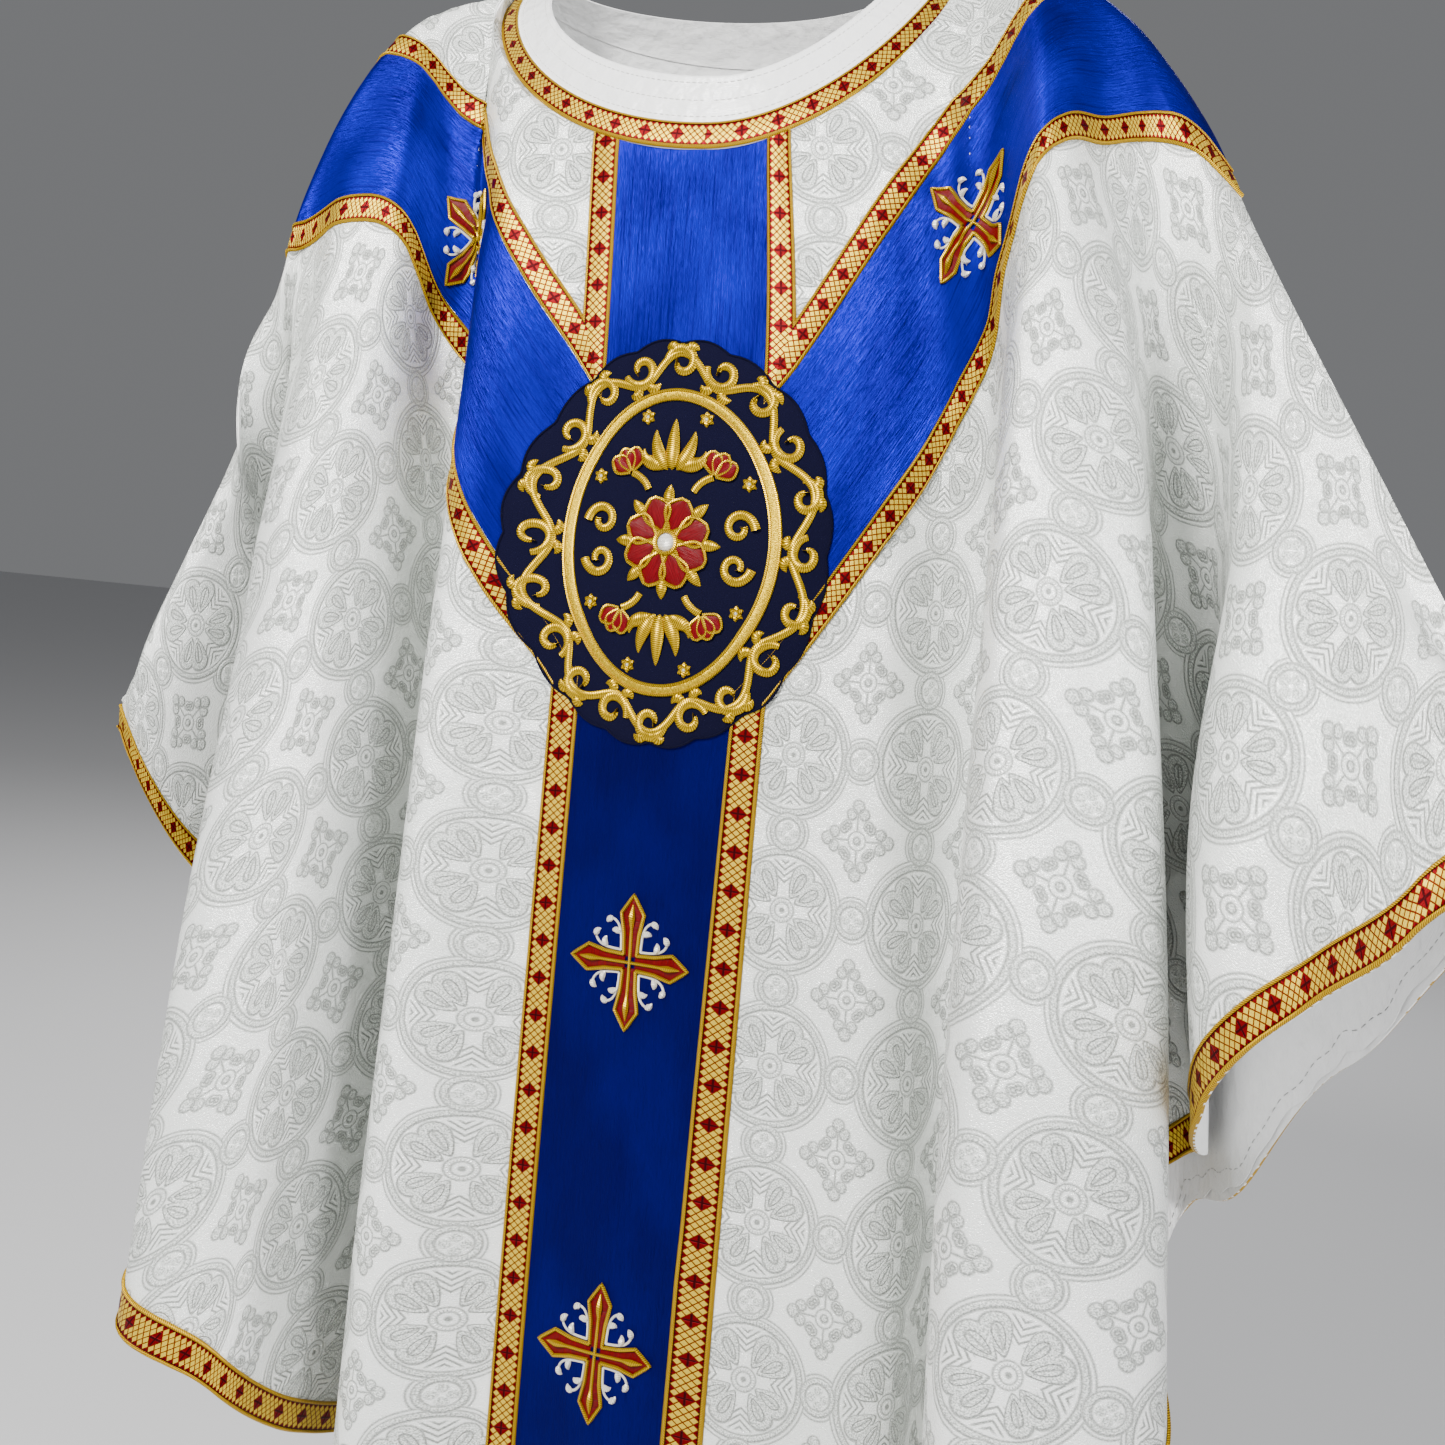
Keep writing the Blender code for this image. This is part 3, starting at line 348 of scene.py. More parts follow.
def stations(table):
    """Flat s of the columns of points: the column's edges, then steps between the lines."""
    tops = [row[1] for row in table] + [TIP]
    hems = [row[2] for row in table] + [hem_outline(FRONT_LENGTH)[1][-1]]
    found = [0.0, COLUMN_HALF - GALLOON, COLUMN_HALF]
    for k in range(1, len(table)):
        steps = max(1, round((hems[k + 1] - hems[k]) / HEM_STEP))
        found += list(np.linspace(tops[k], tops[k + 1], steps + 1)[1:])
    return np.array(found)


def quarter(table, seam, front, side, top_s):
    """One side of the front or back, with x away from the middle.

    It returns the number of columns as far as the neck side, and two grids (rows, columns)
    with the centre in column 0: the flat points, and their places.
    """
    depth = FRONT_NECK_DEPTH if front else BACK_NECK_DEPTH
    outline, hem_at = hem_outline(FRONT_LENGTH if front else BACK_LENGTH)
    seam = np.array(seam)
    tip = smooth(seam[:, 0], seam[:, 1:4], [TIP, HALF_WIDTH])
    tops = [row[1] for row in table] + [TIP]
    values = [row[2:] for row in table]
    values.append((hem_at[-1], values[-1][1]) + tuple(tip[1, :2]) * len(PLACES))
    values = smooth(tops, values, top_s)
    hems, reach = values[:, 0], values[:, 1]
    hems[1:3] = top_s[1:3]
    hems[-1] = hem_at[-1]
    place_xy = values[:, 2:].reshape(len(top_s), len(PLACES), 2)

    angles = np.linspace(0, math.pi / 2, 901)
    edge_s = neck_flat(angles, depth, BAND + GALLOON)[:, 0]
    neck_columns = int(np.argmin(abs(top_s - NECK_SIDE))) + 1
    angle = np.interp(top_s[:neck_columns], edge_s, angles)
    seam_s = top_s[neck_columns:]
    seam_place = smooth(seam[:, 0], seam[:, 1:], seam_s)
    seam_flat = np.column_stack([seam_s, (seam_s - NECK_HALF_WIDTH) * SEAM_SLOPE])
    top_flat = np.vstack([neck_flat(angle, depth, BAND + GALLOON), seam_flat])
    top_place = np.vstack([neck_place(NECK_RINGS[-1], angle, front, side), seam_place[:, :3]])
    bend = np.r_[seam[0, 4] * np.sin(angle) ** 3, seam_place[:, 3]]

    hem_flat = looked_up(hems, hem_at, outline)
    hem_flat[:3, 0] = top_s[:3]
    toward = -1.0 if front else 1.0
    share = np.linspace(0, 1, SAMPLES)
    flat = np.empty((len(ROWS), len(top_s), 2))
    place = np.empty((len(ROWS), len(top_s), 3))
    for k in range(len(top_s) - 1):
        run = hem_flat[k] - top_flat[k]
        length = np.linalg.norm(run)
        out = min(bend[k], MOST_BEND * length)
        start = top_place[k, :2] + (0.0, toward * out)
        xy = smooth((0.0, *PLACES), np.vstack([start, place_xy[k]]), share)
        left = np.clip(1 - share * length / (1.5 * max(out, 1e-6)), 0, 1)
        xy[:, 1] -= toward * out * left**1.5
        step = length * reach[k] / (SAMPLES - 1)
        sideways = (np.diff(xy, axis=0) ** 2).sum(axis=1)
        drop = np.sqrt(np.maximum(step**2 - sideways, (0.1 * step) ** 2))
        z = top_place[k, 2] - np.r_[0.0, np.cumsum(drop)]
        at = ROWS ** min(1.0, 0.42 + 0.65 * length)
        flat[:, k] = top_flat[k] + at[:, None] * run
        place[:, k] = looked_up(at, share, np.column_stack([xy, z]))
    flat[:, -1], place[:, -1] = top_flat[-1], tip[0]
    flat[-1, -1], place[-1, -1] = hem_flat[-1], tip[1]
    return neck_columns, flat, place


def grid_normals(place, front):
    """Unit normals of a grid of points, from the faces round each."""
    points = place.reshape(-1, 3)
    normals = np.zeros_like(points)
    for triangles in triangles_of(place.shape):
        p, q, r = (points[k] for k in triangles.T)
        face = np.cross(q - p, r - p)
        for k in triangles.T:
            np.add.at(normals, k, face)
    normals = unit(normals).reshape(place.shape)
    normals[0, [0, -1]] = normals[1, [0, -1]]
    return normals * (1.0 if front else -1.0)


def creased(flat, place, normals, table):
    """The grid with soft troughs and ridges, each along one straight line of the flat cloth."""
    lift = np.zeros(flat.shape[:2])
    for s0, t0, s1, t1, width, height in table:
        run = np.array([s1 - s0, t1 - t0])
        length = np.linalg.norm(run)
        run = run / length
        off = flat - (s0, t0)
        at = off @ run / length
        across = crossed(off, run)
        bow = 0.25 * width * np.sin(7 * at + 9 * s0)
        taper = np.clip(at * (1 - at) * 4, 0, 1) ** 0.7
        lift += height * taper * np.exp(-(((across - bow) / width) ** 2))
    return place + lift[..., None] * normals


class Half:
    """The front or the back: a fine grid of the worn cloth that flat points are looked up in."""

    def __init__(self, name, left_table, right_table, creases):
        self.name = name
        self.front = name == "front"
        left = quarter(left_table, SEAM_LEFT, self.front, 0, stations(FRONT_LEFT))
        right = quarter(right_table, SEAM_RIGHT, self.front, 1, stations(FRONT_RIGHT))
        self.flat, self.place = (
            np.concatenate([(b * flip)[:, :0:-1], a], axis=1)
            for a, b, flip in zip(left[1:], right[1:], ((-1, 1), (-1, 1, 1)))
        )
        self.place[..., 0] -= NECK_MIDDLE
        middle = int(np.argmin(abs(self.flat[0, :, 0])))
        self.neck = slice(middle - right[0] + 2, middle + left[0] - 1)
        self.place = creased(self.flat, self.place, grid_normals(self.place, self.front), creases)
        self.normals = grid_normals(self.place, self.front)

    def close(self, other):
        """Shares the seam's normals with the other half."""
        seam = np.ones(self.flat.shape[1], bool)
        seam[self.neck] = False
        both = unit(self.normals[0, seam] + other.normals[0, seam])
        self.normals[0, seam] = other.normals[0, seam] = both

    def ready(self):
        """Readies the look-up of flat points."""
        flats = self.flat.reshape(-1, 2)
        triangles = np.vstack(triangles_of(self.flat.shape))
        p, q, r = (flats[k] for k in triangles.T)
        self.triangles = triangles[abs(crossed(q - p, r - p)) > 1e-12]
        self.tree = BVHTree.FromPolygons([(s, t, 0.0) for s, t in flats], self.triangles.tolist())

    def hit(self, flat):
        """Where a flat point lies on the flat grid: the point and its face, or None twice."""
        spot, _, face, _ = self.tree.ray_cast((*flat, 1.0), (0, 0, -1))
        return spot, face

    def at(self, flat, lift=0.0):
        """The worn places of flat points, moved out by lift, and their normals."""
        flat = np.asarray(flat, float)
        shape = flat.shape[:-1]
        flat = flat.reshape(-1, 2)
        faces, spots = np.empty(len(flat), int), np.empty((len(flat), 2))
        for k, point in enumerate(flat):
            spot, face = self.hit(point)
            if face is None:
                spot, _, face, _ = self.tree.find_nearest((*point, 0.0))
            faces[k], spots[k] = face, spot[:2]
        corner = self.triangles[faces]
        p, q, r = (self.flat.reshape(-1, 2)[k] for k in corner.T)
        area = crossed(q - p, r - p)
        v, w = crossed(spots - p, r - p) / area, crossed(q - p, spots - p) / area
        shares = np.column_stack([1 - v - w, v, w])[..., None]
        grids = (grid.reshape(-1, 3) for grid in (self.place, self.normals))
        places, normals = ((grid[corner] * shares).sum(axis=1) for grid in grids)
        normals = unit(normals)
        lift = np.broadcast_to(lift, shape).reshape(-1, 1)
        return (places + lift * normals).reshape(*shape, 3), normals.reshape(*shape, 3)


def linked(name, data):
    """A new object in the scene."""
    made = bpy.data.objects.new(name, data)
    bpy.context.scene.collection.objects.link(made)
    return made


class Builder:
    """Gathers grids and tubes into one mesh with a UV map."""

    def __init__(self):
        self.points, self.faces, self.uvs, self.slots = [], [], [], []
        self.count = 0

    def add(self, faces, uvs, slot):
        """Adds faces with the UVs of their corners and a material slot."""
        self.faces += [[int(k) for k in face] for face in faces]
        self.uvs.append(np.reshape(uvs, (-1, 2)))
        self.slots += [slot] * len(faces)

    def grid(self, points, uv, slot=0, flip=False, wrap=False):
        """Adds a grid of quads. wrap joins its last column to its first."""
        rows, columns = points.shape[:2]
        index = self.count + np.arange(rows * columns).reshape(rows, columns)
        self.points.append(points.reshape(-1, 3))
        self.count += rows * columns
        if wrap:
            index = np.column_stack([index, index[:, :1]])
        turn = slice(None, None, -1 if flip else 1)
        self.add(cells(index).reshape(-1, 4)[:, turn], cells(uv).reshape(-1, 4, 2)[:, turn], slot)
        return index

    def cap(self, row, uv, slot=0):
        """Closes a ring of point numbers with one face."""
        self.add([row], [uv] * len(row), slot)

    def shell(self, top, bottom, uv, front=True, slots=(0, 0), wrap=False):
        """Adds a closed sheet between two grids of the same shape, and returns their point numbers."""
        over = self.grid(top, uv, slots[0], flip=not front, wrap=wrap)
        under = self.grid(bottom, uv, slots[1], flip=front, wrap=wrap)
        ends = [np.s_[0], np.s_[-1, ::-1]]
        if not wrap:
            ends += [np.s_[::-1, 0], np.s_[:, -1]]
        turn = slice(None, None, -1 if front else 1)
        for end in ends:
            a, b, c = (grid[end][turn] for grid in (over, under, uv))
            quads = np.column_stack([a[:-1], b[:-1], b[1:], a[1:]])
            self.add(quads, np.stack([c[:-1], c[:-1], c[1:], c[1:]], axis=1), slots[1])
        return over, under

    def tube(self, points, normals, radii, sides=6, flatten=1.0, slot=0):
        """Adds a closed tube round a row of points, flatter along the normals."""
        points = np.asarray(points)
        ahead = unit(np.gradient(points, axis=0))
        side = unit(np.cross(normals, ahead))[:, None]
        up = np.cross(ahead, side[:, 0])[:, None]
        turn = np.linspace(0, 2 * math.pi, sides, endpoint=False)[None, :, None]
        ring = side * np.cos(turn) + up * flatten * np.sin(turn)
        body = points[:, None] + ring * np.broadcast_to(radii, len(points))[:, None, None]
        uv = np.stack(np.meshgrid(np.linspace(0, 1, sides + 1), along(points)), axis=-1)
        index = self.grid(body, uv, slot, flip=True, wrap=True)
        self.cap(index[0, :-1], (0.5, 0.0), slot)
        self.cap(index[-1, -2::-1], (0.5, 0.0), slot)

    def make(self, name, finishes, slot, *nodes):
        """Makes the piece, which replaces nodes of the part."""
        mesh = bpy.data.meshes.new(name)
        mesh.from_pydata(np.vstack(self.points).tolist(), [], self.faces)
        mesh.uv_layers.new(name="flat").data.foreach_set("uv", np.vstack(self.uvs).ravel())
        mesh.polygons.foreach_set("material_index", np.array(self.slots, np.int32))
        for finish in finishes:
            mesh.materials.append(finish)
        mesh.shade_smooth()
        mesh.set_sharp_from_angle(angle=SHARP_ANGLE)
        piece = linked(name, mesh)
        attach(piece, "root")
        for node in nodes:
            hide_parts(node)
        return piece


def layer(builder, half, flat, high, low, uv, slots=(0, 0), turned=False, wrap=False):
    """A closed sheet on the cloth between two heights over flat points."""
    top, _ = half.at(flat, high)
    bottom, _ = half.at(flat, low)
    return builder.shell(top, bottom, uv, half.front != turned, slots, wrap)


def between(starts, ends, count):
    """A grid of flat points between two rows of them: count rows."""
    share = np.linspace(0, 1, count)[:, None, None]
    return np.asarray(starts) * (1 - share) + np.asarray(ends) * share


def uv_of(across, lengths):
    """The UVs of a grid, from the positions of its columns and its rows."""
    return np.stack(np.broadcast_arrays(across, np.asarray(lengths)[:, None]), axis=-1)


def reach_edge(half, start, way):
    """The last flat point of the cloth from start along way."""
    reach, step = 0.0, 0.01
    while half.hit(start + way * (reach + step))[1] is not None:
        reach += step
    for _ in range(12):
        step /= 2
        if half.hit(start + way * (reach + step))[1] is not None:
            reach += step
    return start + way * reach


def braid_profile():
    """Positions across a braid from 0 to 1, and the heights there, raised at its corded edges."""
    across = np.array([0.0, 0.025, 0.06, 0.095, 0.125, 0.30, 0.5, 0.70, 0.875, 0.905, 0.94, 0.975, 1.0])
    height = np.array([0.4, 1.5, 1.9, 1.5, 0.75, 1.0, 1.1, 1.0, 0.75, 1.5, 1.9, 1.5, 0.4])
    return across, SEWN + height * BRAID


def braid(builder, half, *crossings):
    """A braid through its crossings, from its start to its end, each two flat points."""
    across, heights = braid_profile()
    share = across[:, None]
    lines = [np.asarray(a) * (1 - share) + np.asarray(b) * share for a, b in crossings]
    grids, lengths, so_far = [], [], 0.0
    for first, last in zip(lines[:-1], lines[1:]):
        start = first.mean(axis=0)
        run = last.mean(axis=0) - start
        length = np.linalg.norm(run)
        grid = between(first, last, max(3, round(length / STEP) + 1))[bool(grids) :]
        grids.append(grid)
        lengths.append(so_far + (grid - start) @ run / length)
        so_far += length
    uv = np.stack(np.broadcast_arrays(across * GALLOON, np.concatenate(lengths)), axis=-1)
    layer(builder, half, np.concatenate(grids), heights, SEWN, uv)


def arm_point(side, s, distance):
    """The flat point at s on the line at a distance from an arm's upper edge."""
    edge = COLUMN_HALF * math.cos(ARM_LEAN) + V_DEPTH * math.sin(ARM_LEAN)
    return np.array([side * s, (edge + distance - s * math.cos(ARM_LEAN)) / math.sin(ARM_LEAN)])


def bend_point(side, distance):
    """The flat point of an arm's bend at a distance from its upper edge."""
    lean = (ARM_LEAN + OUTER_LEAN) / 2
    reach = distance / math.cos((OUTER_LEAN - ARM_LEAN) / 2)
    s = BEND_ACROSS + reach * math.cos(lean)
    return np.array([side * s, BEND_DEPTH + reach * math.sin(lean)])


def mitre(side, upper):
    """The ends of the mitre of an arm's braid with the column's, from the column's edge inward."""
    depth = V_DEPTH + (0.0 if upper else ARM_WIDTH / math.sin(ARM_LEAN))
    width = GALLOON if upper else -GALLOON
    step = (width + GALLOON * math.cos(ARM_LEAN)) / math.sin(ARM_LEAN)
    return np.array([(side * COLUMN_HALF, depth), (side * (COLUMN_HALF - GALLOON), depth + step)])


def add_orphrey(half, finish):
    """The blue column and arms and their braids, one piece to each sewn piece."""
    inner = COLUMN_HALF - GALLOON - SEWN
    name, up, down = half.name, np.array([0.0, -1.0]), np.array([0.0, 1.0])
    inside = [np.array([s, 0.5]) for s in np.linspace(-inner, inner, 31)]
    flat = between(*([reach_edge(half, spot, way) for spot in inside] for way in (up, down)), 220)
    builder, braids = Builder(), Builder()
    layer(builder, half, flat, SATIN, SEWN, flat)
    pieces = [builder.make(f"column_{name}", [finish["blue"]], "blue dupion", f"orphrey_column_{name}")]
    for side, word in ((1, "left"), (-1, "right")):
        way = np.array([side * math.sin(OUTER_LEAN), -math.cos(OUTER_LEAN)])
        across = np.linspace(GALLOON + SEWN, ARM_WIDTH - GALLOON - SEWN, 26)
        starts = [arm_point(side, COLUMN_HALF - GALLOON + SEWN, v) for v in across]
        bends = [bend_point(side, v) for v in across]
        ends = [reach_edge(half, bend, way) for bend in bends]
        flat = np.concatenate([between(starts, bends, 45)[:-1], between(bends, ends, 85)])
        builder = Builder()
        layer(builder, half, flat, SATIN, SEWN, uv_of(across, along(flat[:, 13])), turned=side < 0)
        part = f"{name}_{word}"
        pieces.append(builder.make(f"arm_{part}", [finish["blue"]], "blue dupion", f"orphrey_arm_{part}"))
        for upper in (True, False):
            corner = mitre(side, upper)
            away = up if upper else down
            span = (0.0, GALLOON) if upper else (ARM_WIDTH - GALLOON, ARM_WIDTH)
            bends = [bend_point(side, v) for v in span]
            ends = [reach_edge(half, bend, way) for bend in bends]
            rows = (corner if upper else corner[::-1], bends, ends)
            braid(braids, half, *(row[::side] for row in rows))
            turn = side if upper else -side
            far = [reach_edge(half, edge + away * 0.01, away) for edge in corner]
            braid(braids, half, corner[::turn], far[::turn])
    places = [f"{band}_{name}_{word}" for band in BRAID_PLACES for word in ("left", "right")]
    nodes = [f"galloon_{place}" for place in places]
    return [*pieces, braids.make(f"braids_{name}", [finish["braid"]], "gold and red braid", *nodes)]


def add_panel(half, finish):
    """One panel: the damask outside and the satin lining inside, one closed thin sheet."""
    builder = Builder()
    builder.shell(half.place, half.place - CLOTH * half.normals, half.flat, half.front, (0, 1))
    used = [finish["damask"], finish["lining"]]
    return builder.make(f"panel_{half.name}_cloth", used, "damask", f"panel_{half.name}")


def add_hem(half, finish):
    """The braid along the hem, folded a little over the edge."""
    outline, at = hem_outline(FRONT_LENGTH if half.front else BACK_LENGTH)
    right = looked_up(np.linspace(0, at[-1], round(at[-1] / STEP)), at, outline)
    hem = np.vstack([right[:0:-1] * (-1, 1), right])
    across, heights = braid_profile()
    flat = hem[:, None] + inward_of(hem)[:, None] * ((1 - across) * GALLOON)[:, None]
    top, normals = half.at(flat, heights)
    bottom, _ = half.at(flat, SEWN)
    bottom[:, -1] -= (CLOTH + SEWN) * normals[:, -1]
    builder = Builder()
    builder.shell(top, bottom, uv_of(across * GALLOON, along(hem)), half.front)
    used, node = [finish["braid"]], f"trim_hem_{half.name}"
    return builder.make(f"hem_braid_{half.name}", used, "gold and red braid", node)


def neck_loop(distance, count=160):
    """Places round the neck at a distance outside the neckline, from the front's middle."""
    angles = np.linspace(0, math.pi / 2, count)
    known = (0.0, BAND, BAND + GALLOON)
    past = max(0.0, distance - known[-1]) / GALLOON
    parts = []
    for front, side, turn in ((True, 0, 1), (False, 0, -1), (False, 1, 1), (True, 1, -1)):
        flip = (1 - 2 * side, 1, 1)
        rings = np.array([neck_place(ring, angles, front, side)[::turn] * flip for ring in NECK_RINGS])
        at = smooth(known, rings, distance).reshape(-1, 3)
        parts.append((at + past * (rings[2] - rings[1]))[:-1])
    return np.vstack(parts) - (NECK_MIDDLE, 0, 0)


def neck_grid(distances):
    """A grid round the neck: a row for each distance, with normals and a UV."""
    loops = np.array([neck_loop(d) for d in distances])
    closed = np.concatenate([loops[:, -1:], loops, loops[:, :1]], axis=1)
    normals = unit(np.cross(np.gradient(loops, axis=0), closed[:, 2:] - closed[:, :-2]))
    middle = loops[len(distances) // 2]
    lengths = along(np.vstack([middle, middle[:1]]))
    return loops, normals, np.stack(np.meshgrid(distances, lengths, indexing="ij"), axis=-1)


def add_neck(finish):
    """The satin band inside the neckline with its stitching, and the braid round it."""
    distances = np.r_[0.0, 0.0012, 0.003, np.linspace(0.006, BAND + 0.002, 14)]
    loops, normals, uv = neck_grid(distances)
    roll = np.interp(distances, [0, 0.0012, 0.003, 0.006], [-0.0012, 0.0, 0.0004, 0.0])
    seams = sum(np.exp(-(((distances - d) / 0.0016) ** 2)) for d in BAND_STITCHES)
    band, trim, threads = Builder(), Builder(), Builder()
    top = loops + (roll - 0.0004 * seams)[:, None, None] * normals
    band.shell(top, loops - 0.0022 * normals, uv, wrap=True)
    across, heights = braid_profile()
    loops, normals, uv = neck_grid(BAND + across * (GALLOON + 0.0012))
    top = loops + (heights + 0.0003)[:, None, None] * normals
    trim.shell(top, loops - 0.0014 * normals, uv - (BAND, 0), slots=(0, 1), wrap=True)
    for distance in BAND_STITCHES:
        loop, normal, _ = neck_grid([distance - 0.001, distance, distance + 0.001])
        stitches(threads, loop[1], normal[1], 0.0)
    used = [finish["braid"], finish["lining"]]
    return [
        band.make("neck_band_satin", [finish["lining"]], "lining satin", "neck_band"),
        trim.make("neck_braid", used, "gold and red braid", "trim_neck"),
        threads.make("neck_stitches", [finish["thread"]], "lining satin"),
    ]


def stitches(builder, line, normals, lift, length=0.0032, gap=0.0016):
    """A row of short running stitches along a line of places."""
    at = along(line)
    arch = lift + np.array([-0.0002, 0.0002, 0.0002, -0.0002])[:, None]
    for start in np.arange(0.001, at[-1] - length, length + gap):
        spots = start + length * np.array([0.0, 0.25, 0.75, 1.0])
        normal = looked_up(spots, at, normals)
        builder.tube(looked_up(spots, at, line) + arch * normal, normal, 0.00028, sides=4)


def add_lining(half, finish):
    """The lining's free edge inside the back's sleeve ends, with its row of stitches."""
    pieces = []
    outline, at = hem_outline(BACK_LENGTH)
    steps = np.linspace(np.interp(LINING_FROM * 1.35, outline[:, 0], at), at[-1] - 0.004, 160)
    hem = looked_up(steps, at, outline)
    wave = 0.0018 * np.sin(steps * 55) + 0.0012 * np.sin(steps * 131 + 1)
    depth = 0.0026 + wave[:, None] * 0.8 + np.linspace(0, 1, 16) ** 1.5 * 0.085
    flat = hem[:, None] + inward_of(hem)[:, None] * np.maximum(depth, 0.0008)[..., None]
    sag = 0.0006 * (1 + np.sin(steps * 90))[:, None] * np.linspace(1, 0, 16)
    for side, word in ((1, "left"), (-1, "right")):
        top, normals = half.at(flat * (side, 1), -CLOTH - 0.0006 - sag)
        bottom = top - 0.0005 * normals
        builder = Builder()
        builder.shell(top, bottom, flat * (side, 1), half.front != (side > 0))
        stitches(builder, bottom[:, 3], -normals[:, 3], 0.0001, 0.004, 0.003)
        used = [finish["lining"]]
        pieces.append(builder.make(f"lining_edge_{word}", used, "lining satin", f"lining_sleeve_{word}"))
    return pieces


def math_node(operation):
    """A method that adds one Math node."""
    return lambda value, *others: value.made(operation, *others)


class Value:
    """A number in a material's node tree. Arithmetic on it adds Math nodes."""

    def __init__(self, tree, socket):
        self.tree, self.socket = tree, socket

    def made(self, operation, *others, clamp=False):
        node = self.tree.nodes.new("ShaderNodeMath")
        node.operation, node.use_clamp = operation, clamp
        for value, socket in zip((self, *others), node.inputs):
            if isinstance(value, Value):
                self.tree.links.new(value.socket, socket)
            else:
                socket.default_value = value
        return Value(self.tree, node.outputs[0])

    __add__ = __radd__ = math_node("ADD")
    __mul__ = __rmul__ = math_node("MULTIPLY")
    __sub__, __truediv__ = math_node("SUBTRACT"), math_node("DIVIDE")
    __or__, __and__ = math_node("MAXIMUM"), math_node("MINIMUM")
    above = math_node("GREATER_THAN")

    def __rsub__(self, other):
        return self.made("MULTIPLY_ADD", -1.0, other)

    def size(self):
        return self.made("ABSOLUTE")

    def part(self):
        return self.made("FRACT")

    def wave(self):
        """The distance from the middle of each whole step, 0 to 0.5."""
        return (self.part() - 0.5).size()

    def near(self, other, width, soft=0.012):
        """1 where this is within width of other, with an edge of softness soft."""
        return ((self - other).size() if other else self.size()).under(width, soft)

    def under(self, limit, soft):
        return self.made("MULTIPLY_ADD", -1.0 / soft, limit / soft + 0.5, clamp=True)

    def ramp(self, low, high):
        """The value stretched so that low gives 0 and high gives 1."""
        return self.made("MULTIPLY_ADD", 1.0 / (high - low), -low / (high - low), clamp=True)


def length(a, b):
    """How far the point (a, b) lies from the origin."""
    return (a * a + b * b).made("SQRT")


class Finish:
    """A material under construction: its tree, its shader and the usual nodes."""

    def __init__(self, name, roughness, metallic=0.0, sheen=0.0, specular=0.5):
        self.material = bpy.data.materials.new(name)
        self.material.use_nodes = True
        self.tree = self.material.node_tree
        self.shader = self.tree.nodes["Principled BSDF"]
        self.set("Roughness", roughness)
        self.set("Metallic", metallic)
        self.set("Sheen Weight", sheen)
        self.set("Specular IOR Level", specular)

    def set(self, name, value):
        self.shader.inputs[name].default_value = value

    def node(self, kind, values, sources):
        """A node with some inputs set to values and some linked to sockets."""
        node = self.tree.nodes.new(f"ShaderNode{kind}")
        for name, value in values.items():
            node.inputs[name].default_value = value
        for name, source in sources.items():
            self.tree.links.new(source, node.inputs[name])
        return node

    def flat(self):
        """The UV map's two numbers, in metres on the flat cloth."""
        uv = self.node("UVMap", {}, {})
        uv.uv_map = "flat"
        parts = self.node("SeparateXYZ", {}, {0: uv.outputs[0]})
        return Value(self.tree, parts.outputs[0]), Value(self.tree, parts.outputs[1])

    def noise(self, u, v, detail=1.0, rough=0.5):
        """A noise from 0 to 1 over two values."""
        place = self.node("CombineXYZ", {}, {0: u.socket, 1: v.socket}).outputs[0]
        values = {"Scale": 1.0, "Detail": detail, "Roughness": rough}
        return Value(self.tree, self.node("TexNoise", values, {"Vector": place}).outputs[0])

    def mixed(self, share, low, high):
        """Colours mixed by a value. low and high are colours or sockets."""
        node = self.node("Mix", {}, {})
        node.data_type = "RGBA"
        self.tree.links.new(share.socket, node.inputs[0])
        for colour, socket in ((low, node.inputs[6]), (high, node.inputs[7])):
            if isinstance(colour, tuple):
                socket.default_value = (*colour, 1.0)
            else:
                self.tree.links.new(colour, socket)
        return node.outputs[2]

    def done(self, colour, roughness, height, distance):
        """Links the colour, the roughness and a bump of a distance, and gives the material."""
        bump = self.node("Bump", {"Strength": 1.0, "Distance": distance}, {"Height": height.socket})
        self.tree.links.new(colour, self.shader.inputs["Base Color"])
        self.tree.links.new(bump.outputs[0], self.shader.inputs["Normal"])
        if roughness:
            self.tree.links.new(roughness.socket, self.shader.inputs["Roughness"])
        return self.material


